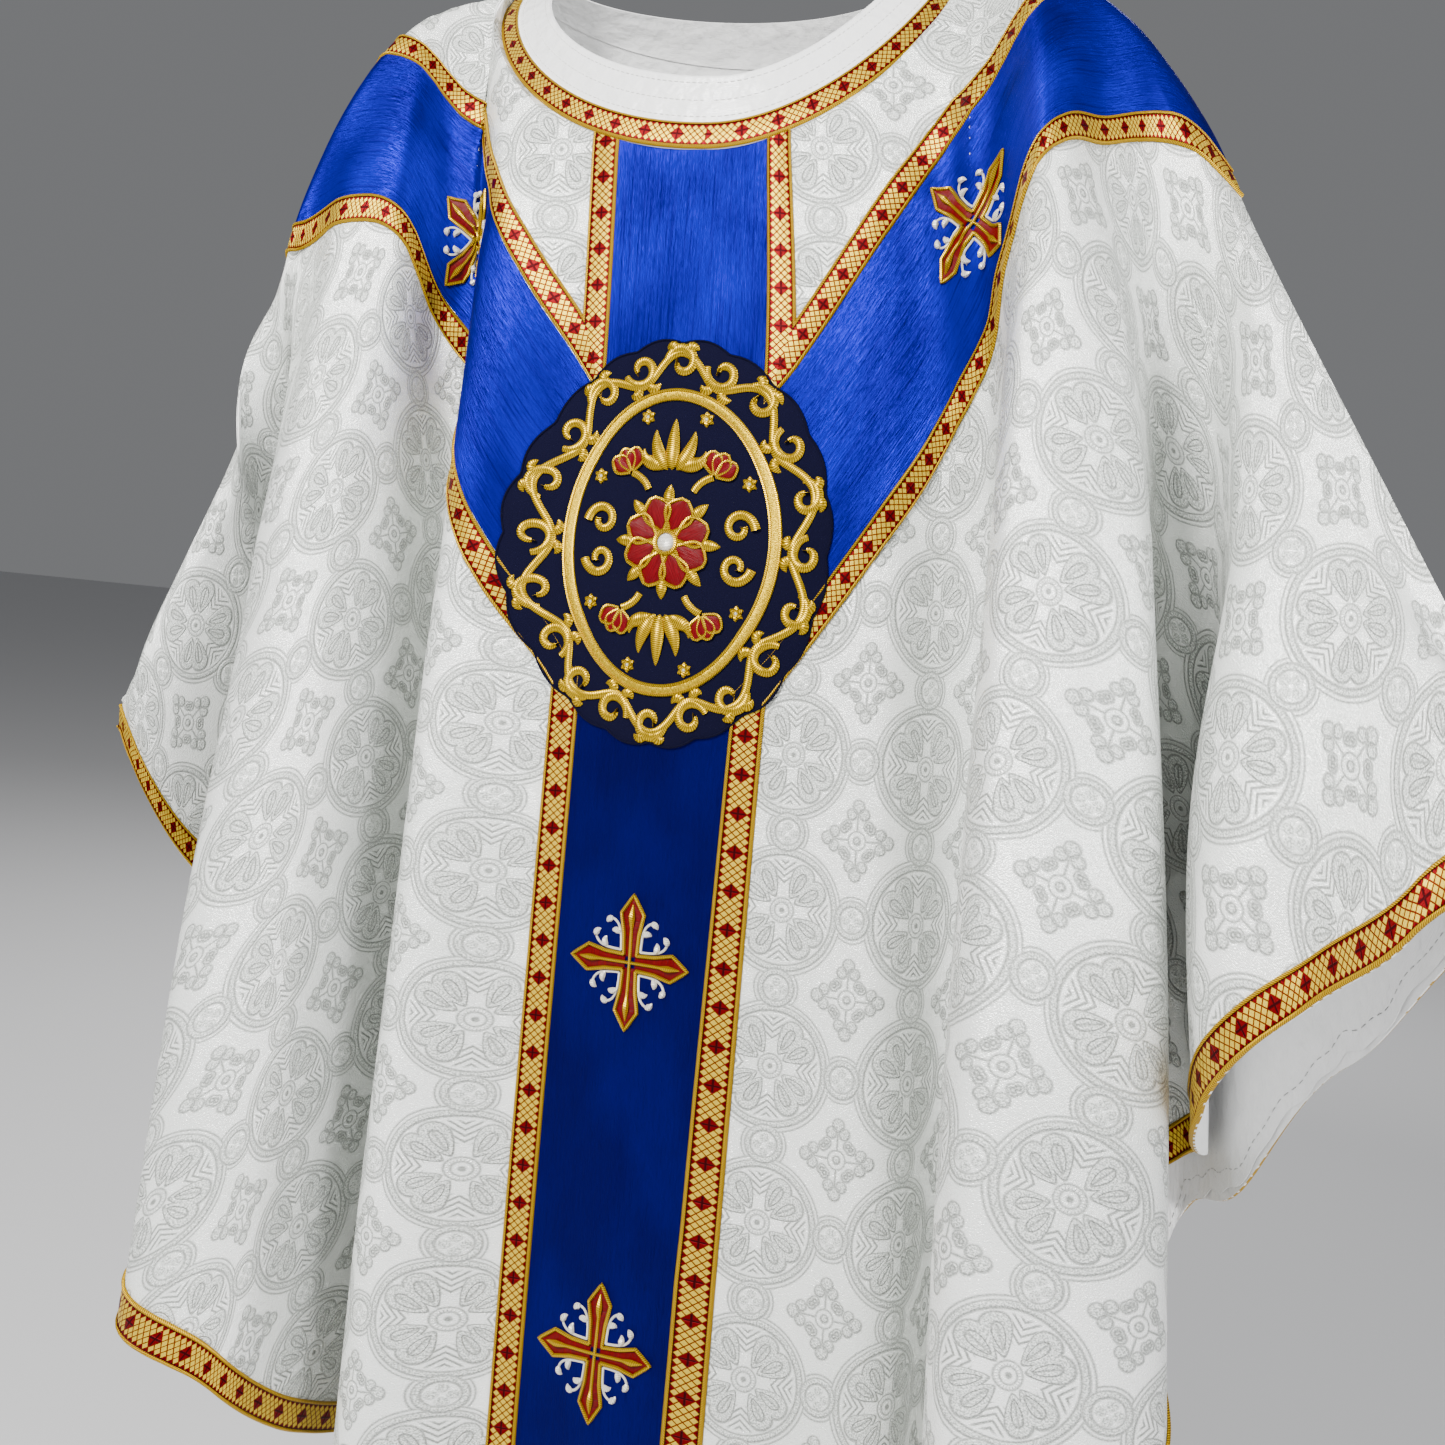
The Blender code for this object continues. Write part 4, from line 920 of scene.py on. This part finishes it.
def damask():
    """White damask: large and small roundels on a square lattice, with flowered crosses between."""
    made = Finish("damask", 0.4, metallic=0.25, specular=0.7)
    s, t = made.flat()
    a, b = ((value / DAMASK_REPEAT + 100.5).wave() for value in (s, t))
    p, q = a | b, a & b
    x, y = 0.5 - q, 0.5 - p
    big, small, cell = length(p, q), length(y, q), length(x, y)
    angle, turn = q.made("ARCTAN2", p), y.made("ARCTAN2", q)
    # The rings of the roundels, cut off where the two kinds meet
    lines = (big.near(0.352, 0.006) | big.near(0.392, 0.005) | big.near(0.418, 0.005)) & small.above(0.128)
    lines = lines | small.near(0.122, 0.005) | small.near(0.084, 0.005)
    lines = lines | (small.near(0.146, 0.005) & big.above(0.418))
    dots = (angle * 7.64).wave().under(0.14, 0.2) & big.near(0.372, 0.009) & small.above(0.13)
    dots = dots | (turn * 2.55).wave().under(0.13, 0.2) & small.near(0.103, 0.008)
    # Eight petals in pairs on the diagonals, each with a leaf inside
    c, d = math.cos(PETAL_TURN), math.sin(PETAL_TURN)
    along_it, across = p * c + q * d, q * c - p * d
    swell = along_it * 0.30 + 0.005
    petal = length((along_it - 0.215) / 0.118, across / swell.made("MAXIMUM", 0.01))
    leaf = length((along_it - 0.205) / 0.072, across / (swell * 0.45).made("MAXIMUM", 0.005))
    lines = lines | petal.near(1.0, 0.055, 0.1) | leaf.near(1.0, 0.09, 0.16)
    lines = lines | (across.near(0.0, 0.004) & along_it.near(0.205, 0.07, 0.02))
    # Nested chevrons on the axes, and the dotted centre
    fold = ((p - q * 0.8) * 25.0).part().near(0.5, 0.2, 0.2)
    lines = lines | (fold & (q - p * 0.25).under(0.0, 0.012) & p.near(0.245, 0.075, 0.02))
    lines = lines | big.near(0.078, 0.005) | big.near(0.048, 0.005) | big.near(0.0, 0.018)
    dots = dots | ((angle * 3.82).wave().under(0.13, 0.2) & big.near(0.063, 0.008))
    # The flowered cross at the middle of each cell, and the rosette in the small roundel
    top, right, left = length(x - 0.215, y), length(x - 0.165, y - 0.045), length(x - 0.165, y + 0.045)
    flower = top.near(0.0, 0.042) | right.near(0.0, 0.036) | left.near(0.0, 0.036)
    spiral = length(x - 0.095, y - 0.075)
    lines = lines | top.near(0.042, 0.005) | right.near(0.036, 0.005)
    lines = lines | spiral.near(0.032, 0.005) | spiral.near(0.012, 0.006)
    lines = lines | cell.near(0.060, 0.005) | cell.near(0.024, 0.006)
    lines = lines | (y.near(0.0, 0.006) & x.near(0.12, 0.06))
    rosette = length(y - 0.045, q).near(0.0, 0.03) | length(y, q - 0.045).near(0.0, 0.03)
    fill = petal.under(1.0, 0.1) | flower | cell.under(0.024, 0.012) | rosette | dots
    fill = fill | (big.near(0.372, 0.020) & small.above(0.128))
    fill = fill | small.near(0.103, 0.018) | spiral.under(0.03, 0.012) | lines
    fine = made.noise(s * 900.0, t * 900.0, 2.0)
    cloudy = made.noise(s * 9.0, t * 6.0, 2.0)
    weave = (s * 1400.0).wave() + (t * 1100.0).wave()
    ground = made.mixed(cloudy.ramp(0.35, 0.65), (0.84, 0.87, 0.835), (0.96, 0.975, 0.95))
    figure = made.mixed(fine.ramp(0.40, 0.60), (0.27, 0.29, 0.27), (0.84, 0.865, 0.83))
    colour = made.mixed(lines * 0.76, made.mixed(fill * 0.84, ground, figure), (0.19, 0.20, 0.185))
    height = fill * 0.6 - lines * 0.9 + fine * 1.1 + weave * 0.2
    return made.done(colour, 0.20 + fill * 0.26 + fine * 0.08, height, 0.0006)


def dupion():
    """Royal blue dupion: a satin with slubs down the cloth, painted shade in large patches, and painted shade
    that deepens it to navy towards the bottom.
    """
    made = Finish("blue dupion", 0.36, metallic=0.7, specular=0.2)
    made.set("Specular Tint", (0.06, 0.08, 1.0, 1.0))
    s, t = made.flat()
    slub = made.noise(s * 620.0, t * 13.0, 3.0, 0.65)
    thread = made.noise(s * 2600.0, t * 90.0)
    # Large patches of painted shade: the blue is deeper in some places and lighter in others.
    painted_shade_cloud = made.noise(s * 14.0, t * 9.0, 2.0)
    blue = made.mixed(painted_shade_cloud.ramp(0.38, 0.62), (0.004, 0.002, 0.16), (0.006, 0.004, 0.33))
    # The slubs are the cloth's own. The deepening to navy towards the bottom (larger t) is painted shade.
    slubs_and_painted_shade = slub.ramp(0.50, 0.66) * 0.6 | t.ramp(0.42, 0.62) * 0.84
    colour = made.mixed(slubs_and_painted_shade, blue, (0.004, 0.001, 0.050))
    return made.done(colour, 0.34 + slub * 0.16, slub * 1.5 + thread * 0.5, 0.0007)


def braid_finish():
    """Woven gold braid: corded edges, a red ground with saw-tooth sides deepened by painted shade along the
    cords, gold lozenges and small crosses.
    """
    made = Finish("gold and red braid", 0.38, metallic=0.6, specular=0.1)
    x, y = made.flat()
    x = x - GALLOON / 2
    off = x.size()
    way = ((y / BRAID_REPEAT).part() - 0.5) * BRAID_REPEAT
    gap = BRAID_REPEAT / 2 - way.size()
    # Lozenges in staggered rows, seven in each group, and a cross in the gap between groups
    pitch = BRAID_REPEAT / 5
    a, b = (x + way) / pitch, (x - way) / pitch
    near_a, near_b = a.made("ROUND"), b.made("ROUND")
    lozenge = ((a - near_a).size() | (b - near_b).size()).under(0.41, 0.08)
    row = (near_a + near_b).size()
    group = row.under(2.5, 0.01) & ((near_a - near_b).size() - row * 0.5).under(3.2, 0.01)
    figure = lozenge & group
    cross = off.under(0.0006, 0.0003) & gap.under(0.0046, 0.0004)
    cross = cross | (gap.under(0.0006, 0.0003) & off.under(0.0040, 0.0004))
    # The saw-tooth band along each corded edge is the braid's pattern. Its deeper red is painted shade beside
    # the raised cords.
    edge = (off + (y / 0.0023).wave() * 0.0030).under(0.0079, 0.0005)
    fine = made.noise(x * 3000.0, y * 3000.0)
    light = made.mixed(fine.ramp(0.3, 0.7), (0.44, 0.26, 0.006), (0.80, 0.60, 0.06))
    red = made.mixed(edge, (0.03, 0.0, 0.001), (0.13, 0.0, 0.002))
    body = made.mixed(cross, made.mixed(figure, red, light), (0.03, 0.0, 0.001))
    cord = off.above(0.0079)
    twist = ((y + off * 1.3) / 0.0017).wave()
    rope = made.mixed(twist.ramp(0.05, 0.4), (0.66, 0.42, 0.008), (0.20, 0.09, 0.002))
    height = figure * 0.8 - cross * 0.5 + cord * (0.9 - twist) + (y / 0.0009).wave() * 0.25
    return made.done(made.mixed(cord, body, rope), 0.34 + fine * 0.2, height, 0.0005)


def thread_finish(name, low, high, metallic, pitch):
    """Embroidery thread laid round a cord at a slant."""
    made = Finish(name, 0.34, metallic=metallic, specular=0.12)
    round_it, y = made.flat()
    twist = (y / pitch + round_it * 2.0).wave()
    fine = made.noise(round_it * 40.0, y * 2500.0)
    colour = made.mixed((twist + fine * 0.2).ramp(0.1, 0.5), high, low)
    return made.done(colour, 0.28 + fine * 0.16, 0.5 - twist, 0.0004)


def satin_stitch(name, low, high, run=(2200.0, 60.0), metallic=0.0):
    """Flat satin stitch: fine parallel threads."""
    made = Finish(name, 0.35, metallic=metallic, specular=0.12)
    s, t = made.flat()
    thread = made.noise(s * run[0], t * run[1])
    return made.done(made.mixed(thread.ramp(0.35, 0.65), low, high), 0.30 + thread * 0.2, thread, 0.0004)


def lining_satin():
    """White lining satin: smooth, with faint threads and puckers."""
    made = Finish("lining satin", 0.28, sheen=0.1)
    s, t = made.flat()
    thread = made.noise(s * 1500.0, t * 200.0)
    pucker = made.noise(s * 60.0, t * 60.0, 2.0)
    colour = made.mixed(pucker, (0.84, 0.845, 0.84), (0.93, 0.93, 0.925))
    return made.done(colour, 0.24 + thread * 0.12, thread * 0.1 + pucker * 1.2, 0.0022)


def velvet():
    """Navy velvet: matt, with a soft pile."""
    made = Finish("navy velvet", 0.85, sheen=0.03, specular=0.1)
    made.set("Sheen Tint", (0.15, 0.15, 0.5, 1.0))
    s, t = made.flat()
    pile = made.noise(s * 1800.0, t * 1800.0, 2.0)
    return made.done(made.mixed(pile, (0.0004, 0.0003, 0.006), (0.0015, 0.0012, 0.018)), None, pile, 0.0006)


def plain_finish(name, colour, roughness):
    """One even colour."""
    made = Finish(name, roughness)
    made.set("Base Color", (*colour, 1.0))
    return made.material


def finishes():
    """The materials by short names."""
    gold, stitched = ((0.22, 0.115, 0.002), (0.70, 0.47, 0.010)), ((0.30, 0.17, 0.003), (0.72, 0.50, 0.012))
    return {
        "damask": damask(),
        "lining": lining_satin(),
        "blue": dupion(),
        "braid": braid_finish(),
        "gold": thread_finish("gold thread", *gold, 0.8, 0.0014),
        "gold satin": satin_stitch("gold satin stitch", *stitched, (500.0, 2400.0), 0.8),
        "red": satin_stitch("red satin", (0.06, 0.0, 0.001), (0.15, 0.0, 0.001)),
        "crimson": satin_stitch("crimson satin", (0.06, 0.0, 0.001), (0.15, 0.0, 0.004)),
        "silver": thread_finish("silver thread", (0.45, 0.43, 0.38), (0.88, 0.85, 0.78), 0.3, 0.0010),
        "velvet": velvet(),
        "thread": plain_finish("white sewing thread", (0.78, 0.78, 0.76), 0.5),
    }


def rotated(points, angle):
    """Flat points turned about the origin."""
    x, y = np.transpose(points)
    c, s = math.cos(angle), math.sin(angle)
    return np.column_stack([x * c - y * s, x * s + y * c])


def way_at(angle, up=1):
    """A flat direction at an angle from straight up, or from straight down."""
    return np.array([math.sin(angle), -up * math.cos(angle)])


def oval_point(angle, half):
    """A flat point on an oval round the medallion's middle. Angle 0 is its top, clockwise."""
    s, t = MEDALLION_AT[0] + half[0] * np.sin(angle), MEDALLION_AT[1] - half[1] * np.cos(angle)
    return np.stack([s, t], axis=-1)


def cord_on(builder, half, flat, lift, radius, sides=6, flatten=1.0, slot=0):
    """A tube on the cloth along flat points."""
    radius = np.broadcast_to(radius, len(flat))
    places, normals = half.at(flat, lift + 0.7 * flatten * radius)
    builder.tube(places, normals, radius, sides, flatten, slot)


def knot(builder, half, end, ahead, radius):
    """The rounded end of a curl."""
    cord_on(builder, half, [end, end + np.asarray(ahead) * 1e-4], ON_PATCH, radius, 8, 0.6)


def bezier(points, count):
    """A smooth curve through four control points."""
    a, b, c, d = (np.asarray(p, float) for p in points)
    u = np.linspace(0, 1, count)[:, None]
    return (1 - u) ** 3 * a + 3 * u * (1 - u) ** 2 * b + 3 * u**2 * (1 - u) * c + u**3 * d


def curl(centre, start, radius, turns, hand, count):
    """A spiral that winds inward from an angle at a radius. hand is 1 or -1."""
    share = np.linspace(0, 1, count)
    angle = start + hand * 2 * math.pi * turns * share
    size = radius * (1 - 0.68 * share**0.8)
    return centre + size[:, None] * np.column_stack([np.cos(angle), np.sin(angle)])


def leaf_radius(count, widest):
    """Radii of a leaf-shaped stroke, thin at both ends."""
    share = np.linspace(0, 1, count)
    return widest * (0.12 + np.sin(math.pi * share**0.8) ** 0.8)


def closed_mound(builder, half, centre, grid, high, low, slot=0):
    """A mound of rings of flat points round a middle, closed above and below."""
    uv = np.concatenate([grid, grid[:, :1]], axis=1)
    over, under = layer(builder, half, grid, high, low, uv, (slot, slot), wrap=True)
    builder.cap(over[0, :-1], centre, slot)
    builder.cap(under[0, -2::-1], centre, slot)


def medallion_base(half, finish):
    """The velvet oval with its small scallops."""
    turn = np.linspace(0, 2 * math.pi, 265)[:-1]
    scallop = 0.0034 * np.abs(np.sin(turn * SCALLOPS / 2)) + 0.0008
    share = np.r_[0.02, np.linspace(0.1, 1.0, 16)][:, None, None]
    size = MEDALLION_HALF + scallop[:, None] * share**6
    grid = MEDALLION_AT + share * size * np.column_stack([np.sin(turn), np.cos(turn)])
    height = PATCH + np.interp(share[..., 0], [0, 0.95, 1.0], [VELVET, VELVET, VELVET * 0.55])
    builder = Builder()
    closed_mound(builder, half, MEDALLION_AT, grid, height, PATCH)
    cord_on(builder, half, np.vstack([grid[-1], grid[-1, :1]]), PATCH + 0.0002, 0.0009, 5)
    return builder.make("medallion_velvet", [finish["velvet"]], "navy velvet", "medallion")


def medallion_oval(half, finish):
    """The raised gold oval: satin stitch between two twisted cords."""
    builder = Builder()
    turn = np.linspace(0, 2 * math.pi, 181)
    size = np.array(RING_HALF)
    for inset, radius in ((0.0008, 0.0012), (RING_WIDTH - 0.0008, 0.0011)):
        cord_on(builder, half, oval_point(turn, size - inset), ON_PATCH, radius)
    across = np.linspace(0.0012, RING_WIDTH - 0.0012, 7)[:, None]
    grid = np.array([oval_point(turn, size - d) for d in across])
    dome = ON_PATCH + 0.0012 * (1 - (across / (RING_WIDTH / 2) - 1) ** 2) ** 0.5
    uv = np.stack(np.broadcast_arrays(across, along(grid[3])), axis=-1)
    layer(builder, half, grid, dome, ON_PATCH, uv, (1, 1))
    used = [finish["gold"], finish["gold satin"]]
    return builder.make("medallion_oval", used, "gold thread", "medallion_ring")


def medallion_border(half, finish):
    """Scrollwork round the oval: a waving stem with a broad curl and two leaves in each bend."""
    builder = Builder()
    middle = (np.array(RING_HALF) + np.array(MEDALLION_HALF)) / 2 + 0.0004
    turn = np.linspace(0, 2 * math.pi, 24 * BORDER_BENDS + 1)
    wave = 0.0092 * np.cos(turn * BORDER_BENDS / 2)
    cord_on(builder, half, oval_point(turn, middle[:, None] + wave), ON_PATCH, 0.0028, 8, 0.45)
    thickness = np.interp(np.arange(34), [0, 6, 26, 33], [0.0022, 0.0034, 0.0029, 0.0016])
    for k in range(BORDER_BENDS):
        angle = 2 * math.pi * k / BORDER_BENDS
        out = 1 if k % 2 == 0 else -1
        here = oval_point(angle, middle)
        ahead = unit(oval_point(angle + 0.01, middle) - here)
        outward = unit(oval_point(angle, middle + 0.01) - here)
        start = math.atan2(ahead[1], ahead[0]) + math.pi
        spiral = curl(here + outward * 0.0022 + ahead * 0.0010, start, 0.0128, 1.0, out, 34)
        cord_on(builder, half, spiral, ON_PATCH, thickness, 8, 0.45)
        knot(builder, half, spiral[-1], ahead, 0.0036)
        for way, reach in ((1, 0.0095), (-1, 0.0085)):
            root = here + out * outward * 0.0085 + ahead * way * 0.0030
            bend = root + out * outward * 0.0062 + ahead * way * 0.0020
            tip = root + out * outward * 0.0030 + ahead * way * reach
            shape = bezier((root, bend, bend + ahead * way * 0.004, tip), 12)
            cord_on(builder, half, shape, ON_PATCH, leaf_radius(12, 0.0032), 8, 0.45)
    return builder.make("medallion_scrolls", [finish["gold"]], "gold thread")


def medallion_middle(half, finish):
    """The generic device inside the oval: a large rosette with leaf crests, curls, buds and small flowers."""
    gold, filled = Builder(), Builder()

    def spot(x, y):
        return np.array([MEDALLION_AT[0] + x, MEDALLION_AT[1] - y])

    def stroke(path, size, flatten=0.5):
        cord_on(gold, half, path, ON_PATCH, size, 8, flatten)

    def petal(root, way, reach, width, edge_size):
        """One domed red petal with a gold cord round it."""
        side_way = np.array([way[1], -way[0]])
        swell = width * np.sin(math.pi * np.linspace(0.06, 0.94, 9) ** 1.25)[:, None, None]
        across = np.linspace(-1, 1, 7)[:, None]
        grid = root + way * reach * np.linspace(0, 1, 9)[:, None, None] + side_way * swell * across
        dome = ON_PATCH + 0.0003 + 0.0018 * (1 - across[:, 0] ** 2)
        uv = (grid - root) @ np.column_stack([side_way, way])
        layer(filled, half, grid, dome, ON_PATCH, uv)
        edge = np.vstack([grid[:, 0], grid[-1, 1:-1], grid[::-1, -1]])
        cord_on(gold, half, edge, ON_PATCH + 0.0005, edge_size, 5)

    # The rosette: eight red petals edged with gold round a silver middle, and gold leaves between
    rose = spot(0, 0)
    for k in range(8):
        way = way_at(math.pi / 4 * k + math.pi / 8)
        petal(rose + way * 0.0080, way, 0.0240, 0.0105, 0.0013)
        leaf = rose + way_at(math.pi / 4 * (k + 1)) * np.linspace(0.025, 0.0395, 9)[:, None]
        stroke(leaf, leaf_radius(9, 0.0036))
    turn = np.linspace(0, 2 * math.pi, 25)
    ring = rose + np.column_stack([np.sin(turn), np.cos(turn)]) * 0.0080
    cord_on(gold, half, ring, ON_PATCH + 0.0008, 0.0017)
    button(filled, half, rose, 0.0070, 0.0028, 1)
    for up in (1, -1):
        # A crest of five leaves above the rosette, and one hanging below it
        for angle, reach in ((0.0, 0.034), (0.45, 0.029), (-0.45, 0.029), (1.0, 0.024), (-1.0, 0.024)):
            root = spot(math.sin(angle) * 0.008, up * 0.050)
            tip = spot(math.sin(angle) * reach * 1.15, up * (0.051 + reach * math.cos(angle)))
            side_way = (0.005 * np.sign(angle), -0.006 * up)
            path = bezier((root, root + side_way, tip + (0, 0.012 * up), tip), 13)
            stroke(path, leaf_radius(13, 0.0044))
        for side in (1, -1):
            # A curl at each side, and a red bud on a stem at each corner
            start = 0.0 if side > 0 else math.pi
            spiral = curl(spot(side * 0.0515, up * 0.0135), start, 0.0118, 1.05, -side * up, 30)
            stroke(spiral, np.linspace(0.0034, 0.0024, 30))
            knot(gold, half, spiral[-1], (0, 1), 0.0034)
            root = spot(side * 0.031, up * 0.047)
            path = bezier((spot(side * 0.017, up * 0.036), spot(side * 0.021, up * 0.045), root, root), 8)
            stroke(path[:-1], 0.0026)
            for turn in (-0.6, 0.0, 0.6):
                way = way_at(0.45 + turn, up) * (side, 1)
                petal(root + way * 0.001, way, 0.0165, 0.0066, 0.0011)
            for x, y in ((0.056, 0.044), (0.022, 0.086)):
                middle = spot(side * x, up * y)
                for k in range(6):
                    way = rotated([(1, 0)], k * math.pi / 3 + 0.5)
                    ray = middle + way * np.linspace(0.0006, 0.0056, 6)[:, None]
                    cord_on(gold, half, ray, ON_PATCH, leaf_radius(6, 0.0018), 6, 0.7)
                button(filled, half, middle, 0.0015, 0.0019, 1)
    return [
        gold.make("medallion_device", [finish["gold"]], "gold thread"),
        filled.make("medallion_flowers", [finish["crimson"], finish["silver"]], "red satin"),
    ]


def button(builder, half, centre, radius, height, slot):
    """A small domed round of stitches."""
    turn = np.linspace(0, 2 * math.pi, 19)[:-1]
    share = np.array([0.08, 0.35, 0.6, 0.8, 0.95, 1.0])[:, None]
    grid = centre + (share * radius)[..., None] * np.column_stack([np.sin(turn), np.cos(turn)])
    lift = ON_PATCH + height * np.sqrt(1 - share**2 * 0.98)
    closed_mound(builder, half, centre, grid, lift, ON_PATCH, slot)


def add_cross(half, name, centre, turned, finish):
    """One embroidered cross: red satin arms edged and lined with gold, with silver sprigs."""
    builder = Builder()
    outline = np.array([(0.0052, 0.0052), (0.0060, 0.020), (0.0090, 0.0335), (0.0, 0.0465)])
    along_arm = np.array([0.004, 0.0052, 0.012, 0.020, 0.027, 0.0335, 0.038, 0.042, 0.0462])
    half_width = np.interp(along_arm, outline[:, 1], outline[:, 0])
    across = np.linspace(-1, 1, 7)
    local = np.stack([half_width[:, None] * across, np.broadcast_to(along_arm[:, None], (9, 7))], axis=-1)
    height = ON_SATIN + 0.0002 + 0.0009 * (1 - across**2)
    edge = np.vstack([outline, outline[-2::-1] * (-1, 1)])
    dense = np.vstack([np.linspace(a, b, 7)[:-1] for a, b in zip(edge[:-1], edge[1:])] + [edge[-1:]])
    line = np.column_stack([np.zeros(16), np.linspace(0.0, 0.040, 16)])
    swell = np.interp(line[:, 1], [0, 0.024, 0.031, 0.036, 0.040], [0.0011, 0.0011, 0.0024, 0.0014, 0.0004])
    stem = bezier(((0.0078, 0.0078), (0.0083, 0.0170), (0.0080, 0.0260), (0.0155, 0.0285)), 16)
    tip = bezier(((0.0150, 0.0284), (0.0175, 0.0290), (0.0195, 0.0275), (0.0202, 0.0252)), 8)
    leaf = bezier(((0.0084, 0.0190), (0.0110, 0.0215), (0.0140, 0.0215), (0.0158, 0.0200)), 8)
    sprig = ((stem, 0.0009), (tip, leaf_radius(8, 0.0021)), (leaf, leaf_radius(8, 0.0020)))
    for quarter_turn in range(4):
        angle = quarter_turn * math.pi / 2 - turned
        grid = centre + (rotated(local.reshape(-1, 2), angle) * (1, -1)).reshape(local.shape)
        layer(builder, half, grid, height, ON_SATIN - 0.0003, local[..., ::-1], (1, 1), turned=True)
        cord_on(builder, half, centre + rotated(dense, angle) * (1, -1), ON_SATIN, 0.00135)
        cord_on(builder, half, centre + rotated(line, angle) * (1, -1), ON_SATIN + 0.0008, swell)
        for order in (1, -1):
            for path, size in sprig:
                flat = centre + rotated(path[:, ::order], angle) * (1, -1)
                cord_on(builder, half, flat, ON_SATIN - 0.0002, size, 6, 0.8, 2)
    used = [finish["gold"], finish["red"], finish["silver"]]
    return builder.make(f"embroidered_{name}", used, "red satin", name)


def arm_cross_at(side):
    """The flat middle of an arm's cross, on the arm's middle line."""
    across = ARM_WIDTH / 2 / math.cos(ARM_LEAN)
    s = COLUMN_HALF + across + ARM_CROSS_ALONG * math.sin(ARM_LEAN)
    return side * s, V_DEPTH - ARM_CROSS_ALONG * math.cos(ARM_LEAN)


def add_embroidery(half, finish):
    """The medallion's layers and the four crosses."""
    upper, lower = ((0.0, t) for t in COLUMN_CROSSES)
    crosses = (
        ("cross_column_upper", upper, 0.0),
        ("cross_column_lower", lower, 0.0),
        ("cross_arm_left", arm_cross_at(1), ARM_LEAN),
        ("cross_arm_right", arm_cross_at(-1), -ARM_LEAN),
    )
    return [
        medallion_base(half, finish),
        medallion_oval(half, finish),
        medallion_border(half, finish),
        *medallion_middle(half, finish),
        *(add_cross(half, *cross, finish) for cross in crosses),
    ]


def flat_area(flat):
    """The area of the flat grid's outline."""
    edge = np.vstack([flat[0], flat[1:, -1], flat[-1, -2::-1], flat[-2:0:-1, 0]])
    return abs(crossed(edge, np.roll(edge, -1, axis=0)).sum()) / 2


def aimed(thing, place, rotation):
    """Puts a light or the camera in its place."""
    thing.location = place
    thing.rotation_mode = "QUATERNION"
    thing.rotation_quaternion = rotation


def lamp(name, place, size, power, colour=(1.0, 1.0, 1.0)):
    """A round soft light aimed at the garment's middle."""
    light = bpy.data.lights.new(name, "AREA")
    light.shape, light.size, light.energy, light.color = "DISK", size, power, colour
    aimed(linked(name, light), place, (Vector(LIT_MIDDLE) - Vector(place)).to_track_quat("-Z", "Y"))


def add_stage():
    """A plain pale floor, a soft studio light and the camera at the photograph's angle."""
    mesh = bpy.data.meshes.new("floor")
    corners = [(x * FLOOR_REACH, y * FLOOR_REACH, FLOOR_Z) for x, y in ((-1, -1), (1, -1), (1, 1), (-1, 1))]
    mesh.from_pydata(corners, [], [(0, 1, 2, 3)])
    mesh.materials.append(plain_finish("pale floor", (0.62, 0.62, 0.63), 0.7))
    linked("floor", mesh)
    world = bpy.data.worlds.new("studio")
    bpy.context.scene.world = world
    world.use_nodes = True
    background = world.node_tree.nodes["Background"]
    background.inputs["Color"].default_value = (0.60, 0.61, 0.63, 1.0)
    background.inputs["Strength"].default_value = 0.30
    lamp("key", (-0.7, -2.7, 1.5), 1.0, 290.0, (1.0, 0.99, 0.97))
    lamp("side", (2.4, -1.2, 0.3), 1.4, 80.0)
    lamp("back", (-0.6, 2.6, 1.2), 1.8, 60.0)
    view = bpy.data.cameras.new("camera")
    view.lens, view.sensor_width = 42.95, 36.0
    view.shift_x, view.shift_y = -0.0095, -0.1208
    camera = linked("camera", view)
    away = Vector((-0.342, 0.9397, 0.0)).to_track_quat("-Z", "Y")
    aimed(camera, (0.491, -1.24, -0.44), away @ Quaternion((0, 0, 1), math.radians(4.5)))
    bpy.context.scene.camera = camera


def main():
    """Builds the pieces of both halves, works out each panel's flat area, and sets the stage."""
    finish = finishes()
    front = Half("front", FRONT_LEFT, FRONT_RIGHT, FRONT_CREASES)
    back = Half("back", BACK_LEFT, BACK_RIGHT, BACK_CREASES)
    front.close(back)
    for half, length_down in ((front, FRONT_LENGTH), (back, BACK_LENGTH)):
        half.ready()
        panel = add_panel(half, finish)
        on_it = [*add_orphrey(half, finish), add_hem(half, finish)]
        on_it += add_neck(finish) + add_embroidery(half, finish) if half.front else add_lining(half, finish)
        area = flat_area(half.flat)
    add_stage()


main()
